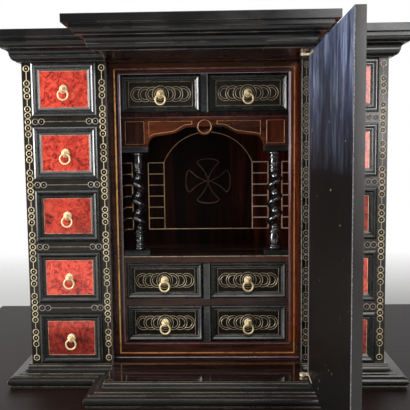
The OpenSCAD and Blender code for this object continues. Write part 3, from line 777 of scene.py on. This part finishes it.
def valance_panel(side):
    """The closed outline of the strung panel between a square and the roundel."""
    points = [(PANEL_IN, PANEL_TOP), (PANEL_OUT, PANEL_TOP)]
    start = math.acos((PANEL_OUT - corner_x(side)) / (EDGE_ARC[0] + LINE_GAP))
    for i in range(5):
        a = start + (math.pi / 2 - start) * i / 5
        points.append((corner_x(side) + (EDGE_ARC[0] + LINE_GAP) * math.cos(a),
                       EDGE_Z + (EDGE_ARC[1] + LINE_GAP) * math.sin(a)))
    edge = [valance_edge(i / 20, side) for i in range(15)]
    points += [(x, z + LINE_GAP) for x, z in edge if x > PANEL_IN]
    points.append((PANEL_IN, valance_edge(1, side)[1] + LINE_GAP))
    return [(side * x, z) for x, z in points], True


rosewood_valance = rosewood("rosewood_valance", 0, ("200b06", "49200d", "643017"), shine=0.3)
# The right square's veneer is lighter than the left's: painted light.
square_left = rosewood("rosewood_square_left", 2, ("120806", "25110b", "341a10"), shine=0.2)
square_right = rosewood("rosewood_square_right", 2, ("1c0c07", "3c180d", "542412"), shine=0.2)
rose_string = string_brass("rubbed_brass_string", "bb8c62", "82593c")
eased_copy("valance", "valance_board", "rosewood", rosewood_valance, reshape=on_ogee)
valance_lines = [arc(0, ROUNDEL_Z, ROUNDEL_LINE, steps=32), valance_panel(-1), valance_panel(1)]
for name, side, near, veneer in (("left", -1, SQUARE_IN_LEFT, square_left),
                                 ("right", 1, SQUARE_IN_RIGHT, square_right)):
    valance_lines.append(rectangle(side * near, SQUARE_LOW, side * SQUARE_OUT, SQUARE_HIGH))
    strip("valance_veneer_" + name, sorted((side * near, side * (VALANCE_HIGH.x - CAP_GAP))), VALANCE_LOW.y,
          VENEER_SPAN, veneer, "rosewood", node="valance")
string_work("valance_strings", valance_lines, VALANCE_LOW.y, FINE_STRING, rose_string)
cap_y = VALANCE_LOW.y - CAP_PROUD
cap = box_between("valance_cap", (VALANCE_LOW.x, cap_y, CAP_Z),
                  (VALANCE_HIGH.x, VALANCE_LOW.y + CAP_DEPTH, VALANCE_HIGH.z - CAP_GAP))
dress(cap, "rosewood", rosewood_smoked_and_painted_shade, node="valance")
cap_bead = line(VALANCE_LOW.x + CAP_BEAD_IN, CAP_Z, VALANCE_HIGH.x - CAP_BEAD_IN, CAP_Z)
string_work("valance_bead", [cap_bead], cap_y, CAP_BEAD_W, bead_level, slot="rosewood", proud=CAP_BEAD_PROUD)


# Columns
# Turned and twisted ebony: vases, beads and fillets above and below a spiral cut out of the round, with a
# square block at each end. The left column has its turnings the other way up and its spiral the other hand.
# The turned steps are (kind, radius, height) in millimetres.
COLUMN_X = (-0.1118, 0.1145)
COLUMN_Y = -0.116
BLOCK_X = ((-0.1365, -0.0925), (0.0962, 0.1365))
BLOCK_D, BLOCK_H, BLOCK_ARRIS = 0.024, 0.0095, 0.0012
SHAFT_R, THROW, PITCH, TAPER = 0.0092, 0.0039, 0.0285, 0.0045
MM = 0.001
FILLET_ARRIS, VASE_SWELL = 0.1, 1.6
FOOT = (("bead", 11, 5.5), ("fillet", 9.2, 1.5), ("vase", 9.6, 19), ("fillet", 7.5, 1.2), ("bead", 9.8, 3.6),
        ("fillet", 8, 1.8))
HEAD = (("bead", 11, 5.5), ("fillet", 8.4, 2.5), ("bead", 10, 3.6), ("fillet", 7.4, 1.4), ("vase", 8.6, 9),
        ("bead", 9.8, 3.4), ("fillet", 7.4, 2.6), ("bead", 9.8, 3.4), ("fillet", 8, 1.8))


def turned(steps):
    """A turned length standing on the origin, spun from its half section, and its height."""
    section, z = [(0, 0)], 0
    for kind, r, h in steps:
        if kind == "fillet":
            section += [(r, z + FILLET_ARRIS), (r, z + h - FILLET_ARRIS)]
        elif kind == "bead":
            section += [(r - h / 2 + h / 2 * math.sin(a), z + h / 2 - h / 2 * math.cos(a))
                        for a in (math.pi * i / 8 for i in range(9))]
        else:
            swell = VASE_SWELL * h
            section += [(r - swell + math.sqrt(swell ** 2 - (h / 2 - h * i / 8) ** 2), z + h * i / 8)
                        for i in range(9)]
        z += h
    piece = draw_path([(r * MM, height * MM) for r, height in section + [(0, z)]], False)
    piece.data.transform(Matrix.Rotation(math.pi / 2, 4, "X"))
    bpy.ops.object.mode_set(mode="EDIT")
    bpy.ops.mesh.select_all(action="SELECT")
    bpy.ops.mesh.spin(steps=32, angle=math.tau, center=(0, 0, 0), axis=(0, 0, 1))
    knit()
    return piece, z * MM


def twisted(height):
    """The spiral shaft: a circle off the axis, screwed up the column and drawn in at both ends."""
    bpy.ops.object.select_all(action="DESELECT")
    bpy.ops.mesh.primitive_circle_add(vertices=28, radius=SHAFT_R)
    piece = bpy.context.object
    piece.data.transform(Matrix.Translation((THROW, 0, 0)))
    screw = piece.modifiers.new("twist", "SCREW")
    turns = height / PITCH
    screw.angle = math.tau * turns
    screw.screw_offset = height
    screw.steps = screw.render_steps = round(turns * 24)
    bpy.ops.object.modifier_apply(modifier=screw.name)
    for vertex in piece.data.vertices:
        z = vertex.co.z
        drawn = 1 - min(1, z / TAPER, (height - z) / TAPER)
        turn = math.tau * z / PITCH
        vertex.co -= Vector((math.cos(turn), math.sin(turn), 0)) * THROW * drawn
    knit(holes=True)
    return piece


column_ebony = ebony("turned_ebony", ("0b0b0c", "151417", "211e1c"), (0.14, 0.26), 1, polish=0.55)
block_ebony = ebony("waxed_ebony", ("0b0b0c", "15161a", "202124"), (0.24, 0.4), 0.5)
# A darker, duller ebony for the right blocks beside the door: painted shade.
shaded_ebony = ebony("column_block_ebony_painted_shade", ("060606", "0d0e0d", "161715"), (0.3, 0.45), 0.3)
column_low, column_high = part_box("columns")
column_foot = column_low.z + BLOCK_H
column_h = column_high.z - BLOCK_H - column_foot
foot, foot_h = turned(FOOT)
head, head_h = turned(HEAD)
head.data.transform(Matrix.Translation((0, 0, column_h)) @ Matrix.Rotation(math.pi, 4, "X"))
shaft = twisted(column_h - foot_h - head_h)
shaft.data.transform(Matrix.Translation((0, 0, foot_h)))
join([shaft, foot, head], "column_right")
bpy.ops.object.shade_smooth_by_angle(angle=math.radians(40))
mirrored = copy_of(shaft, "column_left", (0, 0, 0))
shaft.data.transform(Matrix.Translation((COLUMN_X[1], COLUMN_Y, column_foot)))
mirrored.data.transform(Matrix.Translation((COLUMN_X[0], COLUMN_Y, column_foot + column_h))
                        @ Matrix.Diagonal((1, 1, -1, 1)))
mirrored.data.flip_normals()
for piece in (shaft, mirrored):
    dress(piece, "ebony", column_ebony, node="columns")
for name, (left, right), wood in zip(("left", "right"), BLOCK_X, (block_ebony, shaded_ebony)):
    for place, low in (("foot", column_low.z), ("head", column_high.z - BLOCK_H)):
        block = box_between(f"column_{place}_{name}", (left, COLUMN_Y - BLOCK_D / 2, low),
                            (right, COLUMN_Y + BLOCK_D / 2, low + BLOCK_H))
        pick(block, lambda c, n: True)
        bpy.ops.mesh.bevel(offset=BLOCK_ARRIS, segments=3, affect="EDGES")
        close(block)
        bpy.ops.object.shade_smooth_by_angle(angle=math.radians(30))
        dress(block, "ebony", wood, node="columns")


# Base and cornice
# Ebonised mouldings with a breakfront: the base's top is the polished rosewood ledge that the door swings
# over, and the cornice's underside is a rosewood soffit, dark as painted shade.
SOFT_ARRIS = 0.0009
ledge_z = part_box("base")[1].z
soffit_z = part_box("cornice")[0].z
pear_moulded = ebonised_pearwood("ebonised_pearwood_moulded", 0, ("191715", "211f1c", "2e2a26"),
                                 (0.22, 0.36), (0.26, 0.5, "b0a596"))
pear_cornice = ebonised_pearwood("ebonised_pearwood_cornice", 0, ("0c0c0c", "131212", "211f1d"),
                                 (0.2, 0.34), (0.4, 0.66, "a0968a"))
eased_copy("base", "base_moulding", "ebonised_wood", pear_moulded, rosewood_ledge, width=SOFT_ARRIS,
           choose=lambda c, n: 1 if n.z > 0.95 and c.z > ledge_z - NEAR_FACE else 0)
eased_copy("cornice", "cornice_moulding", "ebonised_wood", pear_cornice, rosewood_smoked_and_painted_shade, width=SOFT_ARRIS,
           choose=lambda c, n: 1 if n.z < -0.95 and c.z < soffit_z + NEAR_FACE else 0)


# Outer drawer fronts
# Ebony mouldings mitred round a panel of turtle shell laid over red foil, with a thin pale line between.
# The upper two rows' mouldings are painted lighter and glossier, and the lower rows' darker, as painted light
# and shade. A profile is (distance in, height) in millimetres.
OUTER_PROFILE = [(0, 1.6), (0.2, 2.3), (1.7, 2.95), (3.2, 3.85), (3.5, 4.5), (4.5, 4.5), (4.7, 4.1),
                 (6.3, 3.2), (8.1, 1.9), (8.3, 1.4), (9.0, 1.4), (9.8, 1.9), (10.6, 1.6), (10.9, 1.1),
                 (12.5, 0.45), (12.7, 0)]
FRONT_T, MOULD_PROUD = 0.013, 0.0045
FOOT_GAP = 0.0002
DRAWER_WALL, DRAWER_FLOOR, SIDE_DROP = 0.005, 0.004, 0.009
PANEL_T, PANEL_PROUD, PANEL_EDGE, PANEL_CROWN = 0.0006, 0.0001, 0.0006, 0.0002
SHELL_IN, LINE_IN = 0.0122, 0.0133
LINE_SUNK, SHELL_LINE_W = 0.0002, 0.0011


def run_moulding(piece, profile):
    """Works a mitred moulding inwards round the piece's front face, and smooths it."""
    pick(piece, lambda c, n: n.y < -0.9)
    at, height = 0, 0
    for across, up in profile:
        if across > at:
            bpy.ops.mesh.inset(thickness=(across - at) * MM, depth=(up - height) * MM, use_even_offset=True)
        else:
            bpy.ops.mesh.extrude_region_move(TRANSFORM_OT_translate={"value": (0, (height - up) * MM, 0)})
        at, height = across, up
    close(piece)
    bpy.ops.object.shade_smooth_by_angle(angle=math.radians(28))


def build_drawer(place, profile, panel_in, moulding, panel_material, panel_slot):
    """A drawer's moulded front, its open box and the panel laid in its front, which stand for the CAD node.
    Returns its corners and the plane that its lines are let into."""
    body = "drawer_" + place
    low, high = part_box(body)
    face_y = low.y + MOULD_PROUD
    front = box_between("front_" + place, (low.x, face_y, low.z + FOOT_GAP),
                        (high.x, face_y + FRONT_T, high.z))
    run_moulding(front, profile)
    box = box_between("box_" + place, (low.x, face_y + FRONT_T, low.z), (high.x, high.y, high.z - SIDE_DROP))
    pick(box, lambda c, n: n.z > 0.9)
    bpy.ops.mesh.inset(thickness=DRAWER_WALL, use_even_offset=True)
    sink = high.z - SIDE_DROP - low.z - DRAWER_FLOOR
    bpy.ops.mesh.extrude_region_move(TRANSFORM_OT_translate={"value": (0, 0, -sink)})
    close(box)
    panel = box_between("panel_" + place,
                        (low.x + panel_in, face_y - PANEL_PROUD, low.z + FOOT_GAP + panel_in),
                        (high.x - panel_in, face_y + PANEL_T, high.z - panel_in))
    pick(panel, lambda c, n: n.y < -0.9)
    bpy.ops.mesh.inset(thickness=PANEL_EDGE, depth=PANEL_CROWN, use_even_offset=True)
    close(panel)
    for piece, slot, material in ((front, "ebony", moulding), (box, "plain_wood", walnut),
                                  (panel, panel_slot, panel_material)):
        dress(piece, slot, material, body=body, node=body)
    return low, high, face_y - LINE_SUNK


def turtle_shell():
    """Turtle shell on red foil, scraped and polished: clear orange-red clouded with dark brown, crimson and
    browner towards the lowest row, under a deep gloss."""
    material, tree, shader, place = new_material("turtle_shell_on_red_foil")
    cloud = add(tree, "TexNoise", {"Vector": place, "Scale": 75, "Detail": 6, "Roughness": 0.66,
                                   "Distortion": 1.4})
    fleck = add(tree, "TexNoise", {"Vector": place, "Scale": 340, "Detail": 3, "Roughness": 0.7})
    both = add(tree, "Mix", {0: 0.3, 2: cloud, 3: fleck})
    red = add(tree, "ValToRGB", {"Fac": both},
              stops=((0.37, "4c120b"), (0.44, "a8291a"), (0.51, "dc4230"), (0.66, "f2684a")))
    crimson = add(tree, "ValToRGB", {"Fac": both},
                  stops=((0.38, "2c0d08"), (0.47, "6b1d15"), (0.55, "8c2a20"), (0.7, "bb4630")))
    height = add(tree, "SeparateXYZ", {0: place}).outputs["Z"]
    rows = add(tree, "ValToRGB", {"Fac": height},
               stops=((0, "404040"), (0.226, "b8b8b8"), (0.328, "707070"), (0.43, "585858")))
    rows.color_ramp.interpolation = "CONSTANT"
    broad = add(tree, "TexNoise", {"Vector": place, "Scale": 14, "Detail": 2})
    drift = add(tree, "MapRange", {"Value": broad, "From Min": 0.35, "From Max": 0.6,
                                   "To Min": 0.6, "To Max": 1.6})
    by_row = add(tree, "Math", {0: rows, 1: drift}, operation="MULTIPLY", use_clamp=True)
    low_row = add(tree, "MapRange", {"Value": height, "From Min": 0.114, "From Max": 0.08})
    share = add(tree, "Math", {0: by_row, 1: low_row}, operation="MAXIMUM")
    colour = add(tree, "Mix", {0: share, 6: red, 7: crimson}, data_type="RGBA").outputs[2]
    wave = add(tree, "TexNoise", {"Vector": place, "Scale": 32, "Detail": 2})
    relief = add(tree, "Bump", {"Height": wave, "Strength": 0.2, "Distance": 0.0006})
    fill(tree, shader, {"Base Color": colour, "Roughness": 0.42, "Specular IOR Level": 0.3,
                        "Coat Weight": 0.8, "Coat Roughness": 0.06, "Coat IOR": 1.5, "Coat Normal": relief})
    return material


shell = turtle_shell()
lit_moulding_ebony = ebony("moulding_ebony_painted_light", ("1b1c1b", "2c2e2d", "424341"), (0.2, 0.34), 1, polish=0.12)
shaded_moulding_ebony = ebony("moulding_ebony_painted_shade", ("131413", "20221f", "323330"), (0.17, 0.32), 0.55)
OUTER_PLACES = [f"{bank}_{row}" for bank in ("left", "right") for row in range(1, 6)]
for place in OUTER_PLACES:
    moulding = lit_moulding_ebony if place[-1] in "12" else shaded_moulding_ebony
    low, high, line_y = build_drawer(place, OUTER_PROFILE, SHELL_IN, moulding, shell, "tortoiseshell")
    border = rectangle(low.x + LINE_IN, low.z + FOOT_GAP + LINE_IN, high.x - LINE_IN, high.z - LINE_IN)
    string_work("line_" + place, [border], line_y, SHELL_LINE_W, pale_string, body="drawer_" + place)


# Inner drawer fronts
# Narrower ebony mouldings round panels of smoked rosewood, each strung with a brass rectangle and a row of
# overlapping rings behind the mask.
INNER_PROFILE = [(0, 1.5), (0.2, 2.2), (1.2, 2.8), (2.2, 3.6), (2.4, 4.5), (2.9, 4.5), (3.1, 4.1),
                 (4.4, 3.3), (5.9, 2.2), (6.1, 1.7), (6.4, 1.7), (7.0, 2.1), (7.4, 1.9), (7.6, 1.2),
                 (8.3, 0.75), (8.5, 0)]
PANEL_INSET = 0.0087
BORDER_X, BORDER_Z = 0.0127, 0.0101
RING_STEP = 0.0123
MIDDLE_RINGS, OUTER_RINGS = (0.0134, 0.0096), (0.0119, 0.0083)
THIN = 0.0009


def overlap(radius, neighbour):
    """Half the angle of a ring, in degrees, that lies hidden inside its neighbour one step away."""
    reach = (RING_STEP ** 2 + radius ** 2 - neighbour ** 2) / (2 * RING_STEP)
    return math.degrees(math.acos(reach / radius))


rosewood_panel = rosewood("rosewood_drawer_panel", 0, ("0d0a07", "1c1611", "2c231a"), (0.3, 0.45), 0.25)
low_panel = rosewood("rosewood_drawer_panel_low", 0, ("090705", "150f0a", "211912"), (0.3, 0.45), 0.15)
INNER_PLACES = [f"{row}_{side}" for row in ("top", "mid", "low") for side in ("left", "right")]
for place in INNER_PLACES:
    veneer = rosewood_panel if "top" in place else low_panel
    low, high, line_y = build_drawer(place, INNER_PROFILE, PANEL_INSET, moulding_ebony, veneer, "rosewood")
    x, z = (low.x + high.x) / 2, (low.z + high.z) / 2
    lines = [rectangle(low.x + BORDER_X, low.z + BORDER_Z, high.x - BORDER_X, high.z - BORDER_Z)]
    lines += [arc(x, z, radius, steps=32) for radius in MIDDLE_RINGS]
    for step in (-3, -2, -1, 1, 2, 3):
        for radius in OUTER_RINGS:
            back = 180 if step > 0 else 0
            hidden = overlap(radius, MIDDLE_RINGS[0] if abs(step) == 1 else OUTER_RINGS[0])
            lines.append(arc(x + step * RING_STEP, z, radius, back + hidden, back + 360 - hidden))
    string_work("strings_" + place, lines, line_y, THIN, pale_string, body="drawer_" + place)


# Masks and rings
# Cast and fire-gilt brass: a lion's mask is riveted to each drawer front and holds a loose ring in its jaws.
# The relief is in millimetres.
MASK_HALF = (7.1, 7.8)
MASK_LOBES, MASK_WAVE, MASK_TUCK = 12, 0.05, 0.95
MANE_IN, MANE_RISE = 0.45, 0.55
EYE_OUT, EYE_DROP, EYE_R = 6.8, 1.2, 2


def gilt_brass():
    """Cast brass, mercury gilt: warm yellow, burnished on the heights and brown in the hollows."""
    material, tree, shader, place = new_material("gilt_brass")
    worn = add(tree, "ValToRGB", {"Fac": add(tree, "NewGeometry").outputs["Pointiness"]},
               stops=((0.43, "94702f"), (0.49, "f3d596"), (0.55, "fff1cf")))
    spots = add(tree, "TexNoise", {"Vector": place, "Scale": 420, "Detail": 4})
    stain = add(tree, "MapRange", {"Value": spots, "From Min": 0.55, "From Max": 0.75, "To Max": 0.5})
    colour = add(tree, "Mix", {0: stain, 6: worn, 7: srgb("a07a34")}, data_type="RGBA").outputs[2]
    rough = add(tree, "MapRange", {"Value": spots, "From Min": 0.35, "From Max": 0.7,
                                   "To Min": 0.28, "To Max": 0.48})
    fill(tree, shader, {"Base Color": colour, "Metallic": 0.3, "Roughness": rough})
    return material


def bump(x, z, at_x, at_z, wide, tall, rise):
    """A rounded swelling of a relief, centred at (at_x, at_z)."""
    return rise * math.exp(-((x - at_x) / wide) ** 2 - ((z - at_z) / tall) ** 2)


def lion_relief(x, z, rim):
    """How far the mask stands out at (x, z); rim runs from 0 at the middle to 1 at the edge."""
    angle = math.atan2(z, x)
    out = 1.2 + 2.4 * math.sqrt(max(0, 1 - rim ** 5))
    if rim > MANE_IN:
        lock = math.cos(MASK_LOBES * angle + 5 * rim)
        out += MANE_RISE * lock * math.sin(math.pi * (rim - MANE_IN) / (1 - MANE_IN))
    for side in (-1, 1):
        out += bump(x, z, side * 1.7, 2.4, 1.3, 0.7, 0.9)
        out -= bump(x, z, side * 1.9, 1.0, 0.8, 0.6, 1.0)
        out += bump(x, z, side * 1.9, 0.9, 0.4, 0.35, 0.5)
        out += bump(x, z, side * 3.0, -1.4, 1.3, 1.2, 0.7)
        out += bump(x, z, side * 4.1, 4.3, 0.9, 0.9, 1.0)
    out += bump(x, z, 0, 0.8, 0.75, 1.9, 1.6)
    out += 6.1 * math.exp(-(x / 2.5) ** 4 - ((z + EYE_DROP) / 2.9) ** 4)
    out += bump(x, z, 0, -1.5, 1.0, 0.6, 0.5)
    return out - bump(x, z, 0, -2.6, 0.25, 0.9, 0.4)


def cut(piece, cutter):
    """Cuts the shape of one piece out of another, and does away with the cutter."""
    only(piece)
    cutting = piece.modifiers.new("cut", "BOOLEAN")
    cutting.operation = "DIFFERENCE"
    cutting.object = cutter
    cutting.solver = "EXACT"
    bpy.ops.object.modifier_apply(modifier=cutting.name)
    bpy.data.objects.remove(cutter)


def lion_mask():
    """A UV sphere whose front rings are pushed into the relief and whose back is flattened to a plate."""
    bpy.ops.object.select_all(action="DESELECT")
    bpy.ops.mesh.primitive_uv_sphere_add(segments=48, ring_count=36, radius=1, rotation=(math.pi / 2, 0, 0))
    bpy.ops.object.transform_apply(location=True, rotation=True, scale=True)
    piece = bpy.context.object
    for vertex in piece.data.vertices:
        x, y, z = vertex.co
        rim = 1 - abs(math.acos(max(-1, min(1, y))) / (math.pi / 2) - 1)
        flat = math.hypot(x, z) or 1
        lobed = rim * (1 + MASK_WAVE * rim * math.cos(MASK_LOBES * math.atan2(z, x))) * MASK_TUCK
        across, up = x / flat * MASK_HALF[0] * lobed, z / flat * MASK_HALF[1] * lobed
        out = lion_relief(across, up, rim) if y < 1e-4 and rim < 0.999 else (0.5 if rim > 0.98 else 0)
        vertex.co = (across * MM, -out * MM, up * MM)
    bpy.ops.object.select_all(action="DESELECT")
    bpy.ops.mesh.primitive_cylinder_add(vertices=24, radius=EYE_R * MM, depth=0.03,
                                        location=(0, -EYE_OUT * MM, -EYE_DROP * MM),
                                        rotation=(0, math.pi / 2, 0))
    cut(piece, bpy.context.object)
    bpy.ops.object.shade_smooth_by_angle(angle=math.radians(50))
    return piece


def gild(node):
    """Gives a CAD node the gilt brass in place of its plain material."""
    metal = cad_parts[node].data.materials
    metal.clear()
    metal.append(gilt)


gilt = gilt_brass()
first_mask = lion_mask()
for place in OUTER_PLACES + INNER_PLACES:
    low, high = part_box("drawer_" + place)
    at = ((low.x + high.x) / 2, low.y + MOULD_PROUD, (low.z + FOOT_GAP + high.z) / 2)
    mask = copy_of(first_mask, "mask_" + place, at)
    dress(mask, "gilt_brass", gilt, body="drawer_" + place, node="pull_" + place)
    gild("ring_" + place)
bpy.data.objects.remove(first_mask)


# Door
# A leaf of ebonised pearwood on let-in brass pivot plates. Its inner face is plain, with a blue-grey painted
# sheen towards the top, and grey strips along its front and hinge edges that are partly rubbed wear and partly
# a painted highlight. Its outer face has an ebony moulding round a panel of turtle shell, sunk in a recess.
DOOR_LOW, DOOR_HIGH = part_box("door")
DOOR_STILE, DOOR_SUNK, DOOR_ARRIS = 0.034, 0.004, 0.0007
DOOR_PROFILE = [(0, 0.6), (0.3, 1.4), (3.2, 3.0), (3.6, 3.6), (5.2, 3.6), (5.4, 2.8), (8.6, 1.4), (8.9, 0.8),
                (12.4, 0.3), (12.6, 0)]
DOOR_MOULD_T, DOOR_PANEL_T = 0.002, 0.001
DOOR_PANEL_IN = 0.0122
PLATE_T = 0.003
CLEAR = 0.001
FIT = 0.0001
RUBBED_AND_LIT = (("front", DOOR_LOW.y, 0.0011), ("hinge", DOOR_HIGH.y - 0.009, 0.009))


def door_painted_sheen():
    """Ebonised pearwood of the door's inner face: a blue-grey painted sheen at the top, brushed upright,
    fading to warm black below, with a few pale chips."""
    material, tree, shader, place = new_material("ebonised_pearwood_painted_sheen")
    brush = fibres(tree, place, 2, 80, 13, Detail=5, Roughness=0.72, Distortion=0.4)
    cloud = add(tree, "TexNoise", {"Vector": place, "Scale": 9, "Detail": 3})
    sheen_tone = add(tree, "ValToRGB", {"Fac": brush},
                stops=((0.3, "20273c"), (0.48, "4d5774"), (0.66, "a8b4d2")))
    # How far up the door the painted sheen is strongest.
    high = add(tree, "MapRange", {"Value": add(tree, "SeparateXYZ", {0: place}).outputs["Z"],
                                  "From Min": 0.35, "From Max": 0.5})
    cloudy = add(tree, "MapRange", {"Value": cloud, "From Min": 0.3, "From Max": 0.65, "To Min": 0.35})
    share = add(tree, "Math", {0: high, 1: cloudy}, operation="MULTIPLY")
    black = add(tree, "ValToRGB", {"Fac": brush}, stops=((0.3, "070606"), (0.7, "110f0d")))
    tone = add(tree, "Mix", {0: share, 6: black, 7: sheen_tone}, data_type="RGBA").outputs[2]
    chips = add(tree, "TexNoise", {"Vector": place, "Scale": 110, "Detail": 2})
    chip = add(tree, "MapRange", {"Value": chips, "From Min": 0.74, "From Max": 0.77})
    colour = add(tree, "Mix", {0: chip, 6: tone, 7: srgb("b9b4ab")}, data_type="RGBA").outputs[2]
    fill(tree, shader, {"Base Color": colour, "Roughness": 0.42, "Specular IOR Level": 0.35})
    return material


plate_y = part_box("door_pivots")[0].y
door = box_between("door_leaf", DOOR_LOW, DOOR_HIGH)
for z in (DOOR_LOW.z, DOOR_HIGH.z):
    cut(door, box_between("plate_seat", (DOOR_LOW.x - CLEAR, plate_y, z - PLATE_T),
                          (DOOR_HIGH.x + CLEAR, DOOR_HIGH.y + CLEAR, z + PLATE_T)))
recess_x = DOOR_HIGH.x - DOOR_SUNK
cut(door, box_between("recess", (recess_x, DOOR_LOW.y + DOOR_STILE, DOOR_LOW.z + DOOR_STILE),
                      (DOOR_HIGH.x + CLEAR, DOOR_HIGH.y - DOOR_STILE, DOOR_HIGH.z - DOOR_STILE)))
ease_arrises(door, DOOR_ARRIS)
dress(door, "ebonised_wood", door_painted_sheen(), pear_upright, body="door", node="door",
       choose=lambda c, n: 0 if n.x < -0.9 else 1)
# Grey strips on the door's front and hinge edges: partly rubbed wear, partly a painted highlight of the arris.
rubbed_and_lit_edge = worn_lip_and_highlight("door_edge_wear_and_painted_highlight", ("4c4a4c", "7b797b", "a5a3a4"))
for name, edge_y, wide in RUBBED_AND_LIT:
    arris = box_between("door_arris_" + name, (DOOR_LOW.x - VENEER_PROUD, edge_y, DOOR_LOW.z + CLEAR),
                        (DOOR_LOW.x + VENEER_T, edge_y + wide, DOOR_HIGH.z - CLEAR))
    dress(arris, "ebonised_wood", rubbed_and_lit_edge, body="door", node="door")
centre = (DOOR_LOW + DOOR_HIGH) / 2
to_door = Matrix.Translation((recess_x, centre.y, centre.z)) @ Matrix.Rotation(math.pi / 2, 4, "Z")
half_w, half_h = centre.y - DOOR_LOW.y - DOOR_STILE, centre.z - DOOR_LOW.z - DOOR_STILE
mould = box_between("door_moulding", (FIT - half_w, 0, FIT - half_h),
                    (half_w - FIT, DOOR_MOULD_T, half_h - FIT))
run_moulding(mould, DOOR_PROFILE)
panel = box_between("door_panel", (DOOR_PANEL_IN - half_w, -FIT, DOOR_PANEL_IN - half_h),
                    (half_w - DOOR_PANEL_IN, DOOR_PANEL_T, half_h - DOOR_PANEL_IN))
for piece, slot, material in ((mould, "ebony", moulding_ebony), (panel, "tortoiseshell", shell)):
    piece.data.transform(to_door)
    dress(piece, slot, material, body="door", node="door")
gild("door_pivots")
